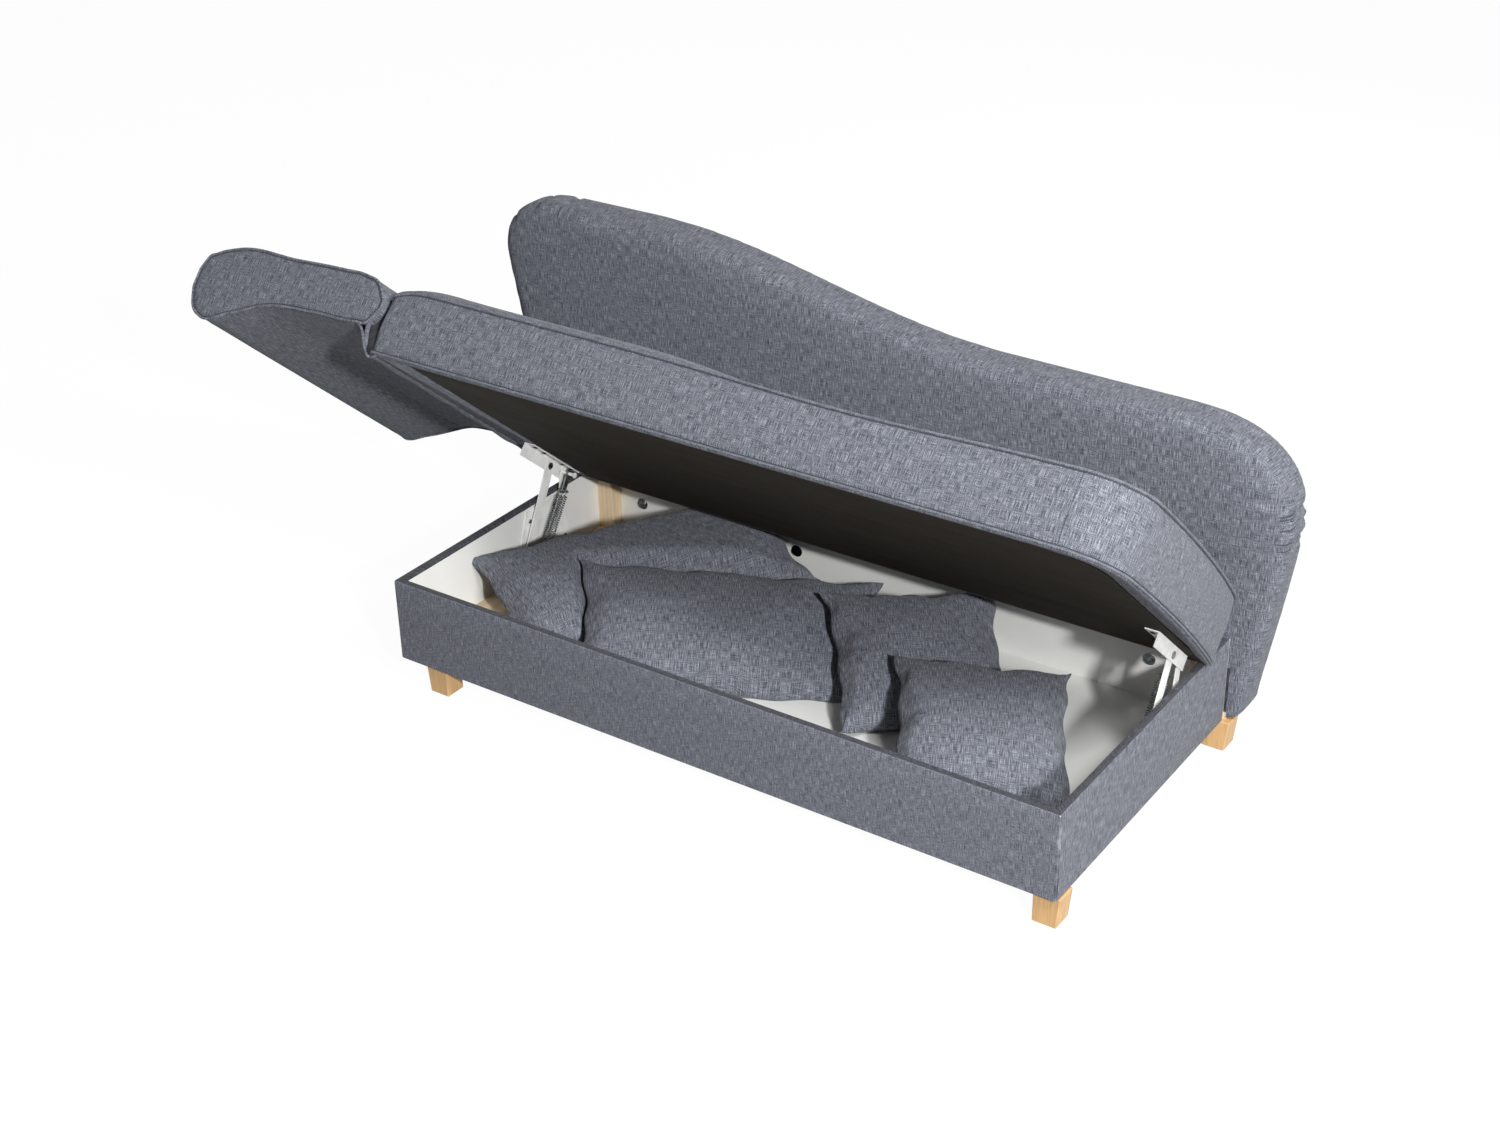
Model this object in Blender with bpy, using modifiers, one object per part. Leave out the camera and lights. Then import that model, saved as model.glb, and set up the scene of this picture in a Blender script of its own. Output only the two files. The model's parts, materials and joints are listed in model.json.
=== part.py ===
"""Recamier with a lift-up seat over a storage box, as an assembly of named pieces in metres, +Z up.

Box coordinates: X runs along the box from its left outer face, Y from its front outer face to the back,
Z up from the floor. The rest pose is the photographed one, with the seat standing open on its links.
"""

import math

import bmesh
import bpy
import numpy as np
from mathutils import Matrix, Vector

# Clearances
GAP = 0.0003
RUN = 0.0003
LID_GAP = 0.0010

# Storage box and feet
BOX_LENGTH = 1.560
BOX_DEPTH = 0.718
BOX_HEIGHT = 0.186
PANEL = 0.016
BASE_BOARD = 0.006
CROSS_RAIL_WIDTH = 0.100
CROSS_RAIL_HEIGHT = 0.020
BLOCK_WIDTH = 0.040
BLOCK_DEPTH = 0.036
REAR_BLOCK_DROP = 0.012
FRONT_BLOCK_DROP = 0.042
FOOT_HEIGHT = 0.068
FOOT_SOLE = 0.049
FOOT_FLARE = 0.007
FOOT_EDGE = 0.002
FOOT_LEFT = 0.090
FOOT_RIGHT = 0.026
FOOT_FRONT = 0.034
FOOT_REAR_RIGHT = 0.012
FOOT_REAR_OUT = 0.014
BOLT_RADIUS = 0.004
BOLT_HEAD_RADIUS = 0.009
BOLT_HEAD_HEIGHT = 0.006
FOOT_BOLT_REACH = 0.040
FOOT_BOLT_COVER = 0.002
THROUGH = 0.010

# Backrest
BACK_THICKNESS = 0.100
BACK_ROUND = 0.028
BACK_TALL = 0.839
BACK_LOW = 0.707
BACK_LEFT_REACH = 0.265
BACK_RIGHT_REACH = 0.099
BACK_LEFT_WIDEST = 0.705
BACK_RIGHT_WIDEST = 0.505
BACK_LEFT_TAPER = 0.170
BACK_RIGHT_TAPER = 0.062
BACK_LEFT_CORNER = 0.165
BACK_RIGHT_CORNER = 0.259
BACK_WAVE_START = 0.130
BACK_WAVE_END = 0.575
BACK_BOARD = 0.018
BACK_COVER = 0.008
BACK_RIM = 0.034
BACK_RAIL_HEIGHT = 0.120
BACK_RAIL_LEFT = 0.030
BACK_RAIL_RIGHT = 0.006
BACK_BOLT_COUNT = 4
BACK_BOLT_LEFT = 0.119
BACK_BOLT_RIGHT = 0.160
BACK_BOLT_HEIGHT = 0.097
BACK_BOLT_REACH = 0.045

# Lifting seat: its right end, dip and rails count from the box's right end
SEAT_DEPTH = 0.748
SEAT_THICKNESS = 0.146
SEAT_EDGE_DROP = 0.004
SEAT_CROWN = 0.014
SEAT_DIP = 0.010
SEAT_DIP_PLACE = 0.530
SEAT_DIP_WIDTH = 0.300
SEAT_LEFT = 0.002
SEAT_RIGHT = 0.006
SEAT_BOW = 0.040
SEAT_BOW_LENGTH = 0.950
SEAT_CORNER = 0.110
SEAT_DRAW = 0.008
SEAT_BACK_GAP = 0.0083
LID_BOARD = 0.004
LID_INSET = 0.018
LID_RIGHT = 0.004
LID_CORNER_INSET = 0.055
LID_RAIL_HEIGHT = 0.045
LID_RAIL_WIDTH = 0.035
LID_RAIL_RIGHT = 0.018
LID_TILT = math.radians(41.3)

# Headrest: distances to the left count from the box's left face
HEAD_REACH = 0.560
HEAD_GAP = 0.012
HEAD_DRAW = 0.010
HEAD_BOARD = 0.012
HEAD_BOARD_FAR = 0.500
HEAD_BOARD_NEAR = 0.060
HEAD_BOARD_INSET = 0.030
HEAD_POCKET_DROP = 0.030
HINGE_OUT = 0.034
HINGE_W = 0.080
HINGE_EYE = 0.010
HINGE_PLATE = 0.003
HINGE_INSET = 0.120
HINGE_LEAF_FAR = 0.200
HINGE_LEAF_MIDDLE = 0.145
HINGE_LEAF_NEAR = 0.090
HINGE_LEAF_END = 0.006
HINGE_LEAF_RISE = 0.016
HINGE_SLOT_SIDE = 0.004
HINGE_SLOT_TOP = 0.0215
HINGE_SLOT_REACH = 0.030
SEAT_LEAF_NEAR = 0.021
SEAT_LEAF_FAR = 0.052
SEAT_LEAF_END = 0.010
SEAT_SLOT_SIDE = 0.001
HEAD_TOP = ((-0.560, 0.082), (-0.545, 0.106), (-0.475, 0.137), (-0.300, 0.150), (-0.170, 0.152),
            (-0.075, 0.130), (-0.030, 0.101), (-0.012, 0.076))
HEAD_UNDERSIDE = ((-0.560, 0.030), (-0.540, 0.000), (-0.505, -0.027), (-0.440, -0.008), (-0.365, 0.026),
                  (-0.215, 0.046), (-0.090, 0.052), (-0.012, 0.046))

# Lift fittings: distances along X count from the outer face of the box's side panel, LINK_PIVOT from the
# box's rear face and bottom, LINK_SEAT and REAR_SEAT from the seat's rear lower edge
LINK_PIVOT = (0.326, 0.067)
LINK_SEAT = (0.1286, -0.0180)
REAR_SEAT = (0.0780, -0.0160)
LINK_SWING = math.radians(34.4)
LINK_NEAR_RADIUS = 0.0130
LINK_FAR_RADIUS = 0.0135
REAR_NEAR_RADIUS = 0.0125
REAR_FAR_RADIUS = 0.0090
STEEL = 0.0025
PLATE_NEAR = PANEL + GAP
PLATE_FAR = PLATE_NEAR + STEEL
PLATE_BITE = 0.0010
PLATE_OUTLINE = ((-0.012, 0.030), (0.156, 0.030), (0.164, 0.060), (0.133, 0.152), (0.108, 0.172),
                 (0.016, 0.172), (-0.020, 0.060))
BRACKET_NEAR = 0.0215
BRACKET_FAR = 0.0240
BRACKET_FLANGE = 0.0520
BRACKET_DROP = 0.031
BRACKET_REAR = 0.050
BRACKET_FRONT = 0.240
LINK_NEAR = 0.0246
LINK_FAR = 0.0276
PIN_RADIUS = 0.004
PIN_HEAD = 0.008
PIN_CAP = 0.0020
REAR_HEAD = 0.012
REAR_HEAD_CAP = 0.0016
STUD_END = 0.0615
STUD_CAP = 0.0065
SPRING_ANCHOR = (0.313, 0.038)
SPRING_BAR = 0.003
SPRING_RADIUS = 0.0058
SPRING_WIRE = 0.0010
SPRING_CURLS = 10
SPRING_POINTS = 8
SPRING_PLACES = (0.0360, 0.0520)
HOOK_NEAR = 0.0425
HOOK_FAR = 0.0455
HOOK_LENGTH = 0.040
HOOK_BAR = 0.0025
HOOK_NEAR_RADIUS = 0.009
HOOK_FAR_RADIUS = 0.006
HOOK_BAR_PAST = 0.005

# Loose cushions: name, width, depth, thickness, centre x and y from the box's left and front inner faces,
# height of centre over the box floor, turn about Z, forward lean, sideways lean (degrees). The pile is as
# drawn in a box with this much room inside, and is chosen smaller to fit where there is less.
PILE_LENGTH = 1.528
PILE_DEPTH = 0.686
CUSHION_EDGE = 0.010
CUSHION_DRAW = 0.07
CUSHION_CLEAR = 0.0007
CUSHIONS = (
    ("cushion_large_left", 0.590, 0.335, 0.125, 0.306, 0.345, 0.0735, 57.0, 10.0, 0.0),
    ("cushion_large_middle", 0.650, 0.365, 0.120, 0.580, 0.336, 0.0800, 33.0, 9.0, 5.0),
    ("cushion_small_middle", 0.370, 0.370, 0.110, 0.979, 0.422, 0.0960, 39.0, 12.0, 5.0),
    ("cushion_small_right", 0.360, 0.370, 0.110, 1.232, 0.268, 0.0920, 29.0, 11.0, 6.0),
)

RIM = FOOT_HEIGHT + BOX_HEIGHT
FLOOR = FOOT_HEIGHT + BASE_BOARD
RAIL_TOP = FLOOR + GAP + CROSS_RAIL_HEIGHT


# Scene, materials and collections


def clear_scene():
    """Remove every object of the starting scene."""
    for item in list(bpy.data.objects):
        bpy.data.objects.remove(item)


def make_collection(name):
    """A new collection under the scene."""
    group = bpy.data.collections.new(name)
    bpy.context.scene.collection.children.link(group)
    return group


def make_material(name, colour, roughness, metallic=0.0):
    """A plain Principled material of one colour."""
    material = bpy.data.materials.new(name)
    material.use_nodes = True
    shader = material.node_tree.nodes["Principled BSDF"]
    shader.inputs["Base Color"].default_value = (*colour, 1.0)
    shader.inputs["Roughness"].default_value = roughness
    shader.inputs["Metallic"].default_value = metallic
    return material


clear_scene()
PARTS = make_collection("recamier")
CUTTERS = make_collection("cutters")
FABRIC = make_material("slate_fabric", (0.130, 0.150, 0.190), 0.9)
MELAMINE = make_material("white_melamine", (0.820, 0.820, 0.800), 0.45)
PINE = make_material("pine", (0.640, 0.440, 0.240), 0.6)
BEECH = make_material("beech", (0.600, 0.360, 0.160), 0.4)
PLYWOOD = make_material("plywood", (0.520, 0.360, 0.200), 0.6)
FIBREBOARD = make_material("dark_fibreboard", (0.035, 0.030, 0.028), 0.7)
WHITE_STEEL = make_material("white_steel", (0.800, 0.800, 0.790), 0.4)
ZINC = make_material("zinc_steel", (0.480, 0.490, 0.500), 0.35, 0.9)


def make_empty(name, parent, place, turn=(0.0, 0.0, 0.0)):
    """An empty that carries one moving body, on its joint axis."""
    empty = bpy.data.objects.new(name, None)
    empty.empty_display_size = 0.05
    empty.location = place
    empty.rotation_euler = turn
    empty.parent = parent
    PARTS.objects.link(empty)
    return empty


def place_piece(name, mesh, material, parent):
    """One named piece in the part's collection."""
    piece = bpy.data.objects.new(name, mesh)
    piece.parent = parent
    if material is not None:
        mesh.materials.append(material)
    PARTS.objects.link(piece)
    return piece


def mesh_of(name, shape):
    """Turn a bmesh into a mesh with outward faces."""
    bmesh.ops.recalc_face_normals(shape, faces=shape.faces)
    mesh = bpy.data.meshes.new(name)
    shape.to_mesh(mesh)
    shape.free()
    return mesh


# Shapes


def block_mesh(name, low, high):
    """A cuboid between two corners."""
    shape = bmesh.new()
    bmesh.ops.create_cube(shape, size=1.0)
    low = Vector(low)
    high = Vector(high)
    bmesh.ops.scale(shape, vec=high - low, verts=shape.verts)
    bmesh.ops.translate(shape, vec=(low + high) / 2.0, verts=shape.verts)
    return mesh_of(name, shape)


def rod_mesh(name, radius, start, end, sides=16):
    """A round rod between two points."""
    start = Vector(start)
    end = Vector(end)
    turn = (end - start).to_track_quat("Z", "Y").to_matrix().to_4x4()
    place = Matrix.Translation((start + end) / 2.0) @ turn
    shape = bmesh.new()
    bmesh.ops.create_cone(shape, cap_ends=True, segments=sides, radius1=radius, radius2=radius,
                          depth=(end - start).length, matrix=place)
    return mesh_of(name, shape)


def baked_mesh(name, data, weld=0.00001):
    """The evaluated mesh of a curve or a mesh with modifiers, welded."""
    bpy.context.view_layer.update()
    source = data.evaluated_get(bpy.context.evaluated_depsgraph_get())
    mesh = bpy.data.meshes.new_from_object(source)
    shape = bmesh.new()
    shape.from_mesh(mesh)
    bmesh.ops.remove_doubles(shape, verts=shape.verts, dist=weld)
    bmesh.ops.dissolve_degenerate(shape, edges=shape.edges, dist=weld)
    bpy.data.objects.remove(data)
    return mesh_of(name, shape)


def plate_mesh(name, outline, axis, start, end, round_edge=0.0):
    """A flat outline extruded from start to end along one axis; its edge may be rounded.

    The outline's two numbers are (y, z) for axis X, (x, z) for axis Y and (x, y) for axis Z.
    """
    curve = bpy.data.curves.new(name, "CURVE")
    curve.dimensions = "2D"
    curve.fill_mode = "BOTH"
    curve.extrude = (end - start) / 2.0 - round_edge
    curve.bevel_depth = round_edge
    curve.bevel_resolution = 2
    curve.offset = -round_edge
    spline = curve.splines.new("POLY")
    spline.points.add(len(outline) - 1)
    for point, (across, up) in zip(spline.points, outline):
        point.co = (across, up, 0.0, 1.0)
    spline.use_cyclic_u = True
    holder = bpy.data.objects.new(name, curve)
    bpy.context.scene.collection.objects.link(holder)
    mesh = baked_mesh(name, holder)
    turns = {
        "X": Matrix(((0, 0, 1), (1, 0, 0), (0, 1, 0))),
        "Y": Matrix(((1, 0, 0), (0, 0, -1), (0, 1, 0))),
        "Z": Matrix.Identity(3),
    }
    shift = {"X": (1, 0, 0), "Y": (0, 1, 0), "Z": (0, 0, 1)}[axis]
    move = Matrix.Translation(Vector(shift) * (start + end) / 2.0)
    mesh.transform(move @ turns[axis].to_4x4())
    return mesh


def turned_mesh(name, profile, centre, outward, sides=16):
    """A profile of (distance along X from the panel, radius), turned about an axis along X by a Screw."""
    shape = bmesh.new()
    points = [shape.verts.new((radius, 0.0, -along)) for along, radius in profile]
    for first, second in zip(points, points[1:]):
        shape.edges.new((first, second))
    mesh = bpy.data.meshes.new(name)
    shape.to_mesh(mesh)
    shape.free()
    holder = bpy.data.objects.new(name, mesh)
    bpy.context.scene.collection.objects.link(holder)
    screw = holder.modifiers.new("turn", "SCREW")
    screw.axis = "Z"
    screw.steps = sides
    screw.render_steps = sides
    screw.use_merge_vertices = True
    screw.merge_threshold = 0.00001
    turned = baked_mesh(name, holder)
    flip = Matrix(((0, 0, -outward), (0, 1, 0), (outward, 0, 0)))
    turned.transform(Matrix.Translation(centre) @ flip.to_4x4())
    shape = bmesh.new()
    shape.from_mesh(turned)
    return mesh_of(name, shape)


def soft_mesh(name, cuts, form):
    """A cube cut into a grid along each axis, its points moved by a form of (u, v, w) in -1 to 1."""
    shape = bmesh.new()
    bmesh.ops.create_cube(shape, size=2.0)
    for axis, count in enumerate(cuts):
        edges = []
        for edge in shape.edges:
            run = edge.verts[1].co - edge.verts[0].co
            if abs(run[axis]) > 0.9 * run.length:
                edges.append(edge)
        bmesh.ops.subdivide_edges(shape, edges=edges, cuts=count - 1, use_grid_fill=True)
    points = np.array([vert.co for vert in shape.verts])
    moved = form(points[:, 0], points[:, 1], points[:, 2])
    for vert, place in zip(shape.verts, np.stack(moved, axis=1)):
        vert.co = place
    return mesh_of(name, shape)


def cut(piece, mesh, operation="DIFFERENCE"):
    """Cut a mesh out of a piece, or join it to the piece, with an exact Boolean."""
    cutter = bpy.data.objects.new(mesh.name, mesh)
    cutter.parent = piece.parent
    cutter.matrix_basis = piece.matrix_basis
    cutter.hide_render = True
    cutter.display_type = "WIRE"
    CUTTERS.objects.link(cutter)
    boolean = piece.modifiers.new(operation.lower(), "BOOLEAN")
    boolean.operation = operation
    boolean.object = cutter
    boolean.solver = "EXACT"
    return cutter


def smooth_through(points, at):
    """A smooth curve through (x, value) points: cubic Hermite pieces with averaged slopes."""
    xs = np.array([point[0] for point in points])
    ys = np.array([point[1] for point in points])
    slopes = np.gradient(ys, xs)
    at = np.clip(at, xs[0], xs[-1])
    place = np.clip(np.searchsorted(xs, at) - 1, 0, len(xs) - 2)
    width = xs[place + 1] - xs[place]
    t = (at - xs[place]) / width
    rise = t * t * (3.0 - 2.0 * t)
    near = t * (1.0 - t) ** 2 * width * slopes[place]
    far = -t * t * (1.0 - t) * width * slopes[place + 1]
    return ys[place] * (1.0 - rise) + ys[place + 1] * rise + near + far


def arc(centre, radii, first, last, count, power=2.0):
    """Points on part of a superellipse, angles in degrees."""
    angles = np.radians(np.linspace(first, last, count))
    across = np.cos(angles)
    up = np.sin(angles)
    across = np.sign(across) * np.abs(across) ** (2.0 / power)
    up = np.sign(up) * np.abs(up) ** (2.0 / power)
    return [(centre[0] + radii[0] * a, centre[1] + radii[1] * b) for a, b in zip(across, up)]


def link_outline(length, near_radius, far_radius, start=(0.0, 0.0), angle=0.0):
    """A bar with two round ends, in its own (y, z), from start along an angle."""
    near = arc((0.0, 0.0), (near_radius, near_radius), 90, 270, 9)
    far = arc((length, 0.0), (far_radius, far_radius), -90, 90, 9)
    cosine = math.cos(angle)
    sine = math.sin(angle)
    turned = [(a * cosine - b * sine, a * sine + b * cosine) for a, b in near + far]
    return [(start[0] + a, start[1] + b) for a, b in turned]


# Movement of the seat on its links, in (y, z)


def lid_point(rear_edge, tilt, along, up):
    """A point of the tilted seat, counted from its rear lower edge: toward the front and square to it."""
    y = rear_edge[0] - along * np.cos(tilt) + up * np.sin(tilt)
    z = rear_edge[1] + along * np.sin(tilt) + up * np.cos(tilt)
    return np.stack([y, z], axis=-1)


def work_out_links():
    """Lengths, angles and the rear links' best circle for the seat's travel from shut (0) to open (1)."""
    travel = np.linspace(0.0, 1.0, 33)
    tilt = LID_TILT * travel
    shut_edge = np.array([BOX_DEPTH - SEAT_BACK_GAP, RIM + LID_GAP])
    pivot = np.array([BOX_DEPTH - LINK_PIVOT[0], FOOT_HEIGHT + LINK_PIVOT[1]])
    shut_pin = lid_point(shut_edge, 0.0, *LINK_SEAT)
    length = np.linalg.norm(shut_pin - pivot)
    shut_angle = math.atan2(shut_pin[1] - pivot[1], shut_pin[0] - pivot[0])
    angle = shut_angle + LINK_SWING * travel
    pin = pivot + length * np.stack([np.cos(angle), np.sin(angle)], axis=-1)
    edge = pin - lid_point(np.zeros(2), tilt, *LINK_SEAT)
    rear = np.stack([lid_point(e, t, *REAR_SEAT) for e, t in zip(edge, tilt)])
    sums = np.column_stack([2.0 * rear, np.ones(len(rear))])
    centre_y, centre_z, rest = np.linalg.lstsq(sums, (rear ** 2).sum(axis=1), rcond=None)[0]
    rear_pivot = np.array([centre_y, centre_z])
    rear_length = math.sqrt(rest + centre_y ** 2 + centre_z ** 2)
    rear_angle = np.arctan2(rear[:, 1] - centre_z, rear[:, 0] - centre_y)
    slope, start = np.polyfit(travel, rear_angle, 1)
    straight = start + slope * travel
    stud = rear_pivot + rear_length * np.stack([np.cos(straight), np.sin(straight)], axis=-1)
    off = stud - edge
    along = -off[:, 0] * np.cos(tilt) + off[:, 1] * np.sin(tilt)
    up = off[:, 0] * np.sin(tilt) + off[:, 1] * np.cos(tilt)
    return {
        "pivot": pivot, "length": length, "angle": angle[-1], "pin": pin[-1], "edge": edge[-1],
        "rear_pivot": rear_pivot, "rear_length": rear_length, "rear_angle": straight[-1],
        "rear_ratio": slope / LINK_SWING, "stud": stud[-1],
        "slot_along": (along.min(), along.max()), "slot_up": (up.min(), up.max()),
    }


LINKS = work_out_links()
CENTRE_X = (BOX_LENGTH + BACK_RIGHT_REACH - HEAD_REACH) / 2.0
CENTRE_Y = (BOX_DEPTH + BACK_THICKNESS) / 2.0
ROOT = make_empty("recamier_frame", None, (-CENTRE_X, -CENTRE_Y, 0.0))
LID = make_empty("lid_body", ROOT, (0.0, LINKS["edge"][0], LINKS["edge"][1]), (-LID_TILT, 0.0, 0.0))
HEAD = make_empty("headrest_body", LID, (-HINGE_OUT, 0.0, HINGE_W))
SIDES = ("left", "right")
FRONT_LINK = {}
REAR_LINK = {}
for side_name in SIDES:
    FRONT_LINK[side_name] = make_empty("front_link_body_" + side_name, ROOT, (0.0, *LINKS["pivot"]),
                                       (LINKS["angle"], 0.0, 0.0))
    REAR_LINK[side_name] = make_empty("rear_link_body_" + side_name, ROOT, (0.0, *LINKS["rear_pivot"]),
                                      (LINKS["rear_angle"], 0.0, 0.0))


def across(side, near, far):
    """Span along X of something lying near to far from a side panel's outer face."""
    if side == "left":
        return near, far
    return BOX_LENGTH - far, BOX_LENGTH - near


# Storage box


def build_box():
    """Four panels, the base board, two cross rails and four corner blocks."""
    inner = PANEL + GAP
    rear_inner = BOX_DEPTH - PANEL - GAP
    holes = [(FOOT_LEFT, FOOT_FRONT), (BOX_LENGTH - FOOT_RIGHT, FOOT_FRONT)]
    panels = {
        "box_front_panel": ((0.0, 0.0, FOOT_HEIGHT), (BOX_LENGTH, PANEL, RIM)),
        "box_rear_panel": ((0.0, BOX_DEPTH - PANEL, FOOT_HEIGHT), (BOX_LENGTH, BOX_DEPTH, RIM)),
        "box_left_panel": ((0.0, inner, FOOT_HEIGHT), (PANEL, rear_inner, RIM)),
        "box_right_panel": ((BOX_LENGTH - PANEL, inner, FOOT_HEIGHT), (BOX_LENGTH, rear_inner, RIM)),
    }
    pieces = {}
    for name, (low, high) in panels.items():
        pieces[name] = place_piece(name, block_mesh(name, low, high), MELAMINE, ROOT)
    for place in back_bolt_places():
        height = FOOT_HEIGHT + BACK_BOLT_HEIGHT
        hole = rod_mesh("bolt_hole", BOLT_RADIUS + GAP, (place, BOX_DEPTH - PANEL - THROUGH, height),
                        (place, BOX_DEPTH + THROUGH, height))
        cut(pieces["box_rear_panel"], hole)
    board = place_piece("base_board", block_mesh("base_board", (inner, inner, FOOT_HEIGHT),
                        (BOX_LENGTH - inner, rear_inner, FLOOR)), MELAMINE, ROOT)
    rails = {}
    for side in SIDES:
        low, high = across(side, inner, inner + CROSS_RAIL_WIDTH)
        name = "cross_rail_" + side
        mesh = block_mesh(name, (low, inner, FLOOR + GAP), (high, rear_inner, RAIL_TOP))
        rails[side] = place_piece(name, mesh, PINE, ROOT)
        for row in ("front", "rear"):
            low, high = across(side, inner, inner + BLOCK_WIDTH)
            y = inner if row == "front" else rear_inner - BLOCK_DEPTH
            top = RIM - (FRONT_BLOCK_DROP if row == "front" else REAR_BLOCK_DROP)
            name = "corner_block_" + row + "_" + side
            mesh = block_mesh(name, (low, y, RAIL_TOP + GAP), (high, y + BLOCK_DEPTH, top))
            place_piece(name, mesh, PINE, ROOT)
    for piece, spots in ((board, holes), (rails["left"], holes[:1]), (rails["right"], holes[1:])):
        for x, y in spots:
            cut(piece, rod_mesh("foot_hole", BOLT_RADIUS + GAP, (x, y, FOOT_HEIGHT - THROUGH),
                                (x, y, RAIL_TOP - FOOT_BOLT_COVER + GAP)))


def build_feet():
    """Four tapered feet, flared at their outer side, and a bolt in each."""
    rear = BOX_DEPTH + FOOT_REAR_OUT
    front_top = RAIL_TOP - FOOT_BOLT_COVER
    rear_top = FOOT_HEIGHT + FOOT_BOLT_REACH
    spots = {
        "front_left": (FOOT_LEFT, FOOT_FRONT, -1, front_top),
        "front_right": (BOX_LENGTH - FOOT_RIGHT, FOOT_FRONT, 1, front_top),
        "rear_left": (FOOT_LEFT, rear, -1, rear_top),
        "rear_right": (BOX_LENGTH - FOOT_REAR_RIGHT, rear, 1, rear_top),
    }
    for name, (x, y, out, bolt_top) in spots.items():
        shape = bmesh.new()
        bmesh.ops.create_cube(shape, size=FOOT_SOLE)
        for vert in shape.verts:
            outer = vert.co.x * out > 0.0
            if vert.co.z > 0.0 and outer:
                vert.co.x += out * FOOT_FLARE
            vert.co.z = FOOT_HEIGHT - GAP if vert.co.z > 0.0 else 0.0
        bmesh.ops.bevel(shape, geom=list(shape.edges), offset=FOOT_EDGE, segments=1, affect="EDGES")
        bmesh.ops.translate(shape, vec=(x, y, 0.0), verts=shape.verts)
        foot = place_piece("foot_" + name, mesh_of("foot_" + name, shape), BEECH, ROOT)
        low = FOOT_HEIGHT - FOOT_BOLT_REACH
        cut(foot, rod_mesh("foot_hole", BOLT_RADIUS + GAP, (x, y, low - GAP), (x, y, FOOT_HEIGHT + THROUGH), 12))
        bolt = rod_mesh("foot_bolt_" + name, BOLT_RADIUS, (x, y, low), (x, y, bolt_top), 12)
        place_piece("foot_bolt_" + name, bolt, ZINC, ROOT)


# Backrest


def back_bolt_places():
    """X of the bolts that hold the backrest to the rear panel, evenly apart."""
    return [float(x) for x in np.linspace(BACK_BOLT_LEFT, BOX_LENGTH - BACK_BOLT_RIGHT, BACK_BOLT_COUNT)]


def backrest_outline(inset=0.0):
    """The wave outline in (x, z): rounded ends, a tall head end falling in a cosine to a low foot end."""
    left = -BACK_LEFT_REACH + inset
    right = BOX_LENGTH + BACK_RIGHT_REACH - inset
    tall = BACK_TALL - inset
    low = BACK_LOW - inset
    bottom = FOOT_HEIGHT + inset
    fall = np.linspace(0.0, 1.0, 9)
    wave_x = BACK_WAVE_START + (BOX_LENGTH - BACK_WAVE_END - BACK_WAVE_START) * fall
    wave_z = low + (tall - low) * (0.5 + 0.5 * np.cos(np.pi * fall))
    left_corner = arc((left + BACK_LEFT_CORNER, BACK_LEFT_WIDEST),
                      (BACK_LEFT_CORNER, tall - BACK_LEFT_WIDEST), 180, 90, 8)
    right_corner = arc((right - BACK_RIGHT_CORNER, BACK_RIGHT_WIDEST),
                       (BACK_RIGHT_CORNER, low - BACK_RIGHT_WIDEST), 90, 0, 9, 2.4)
    down = np.linspace(0.25, 1.0, 4)
    right_z = BACK_RIGHT_WIDEST + (bottom + 0.03 - BACK_RIGHT_WIDEST) * down
    right_x = right - BACK_RIGHT_TAPER * down ** 1.2
    foot_x = right - BACK_RIGHT_TAPER - 0.012
    up = np.linspace(1.0, 0.2, 5)
    left_z = BACK_LEFT_WIDEST + (bottom - BACK_LEFT_WIDEST) * up
    left_x = left + BACK_LEFT_TAPER * up ** 1.3
    points = left_corner + list(zip(wave_x, wave_z)) + right_corner + list(zip(right_x, right_z))
    points += [(foot_x, bottom + 0.008), (foot_x - 0.022, bottom)]
    points += list(zip(left_x, left_z))
    return [(float(x), float(z)) for x, z in points]


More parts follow.
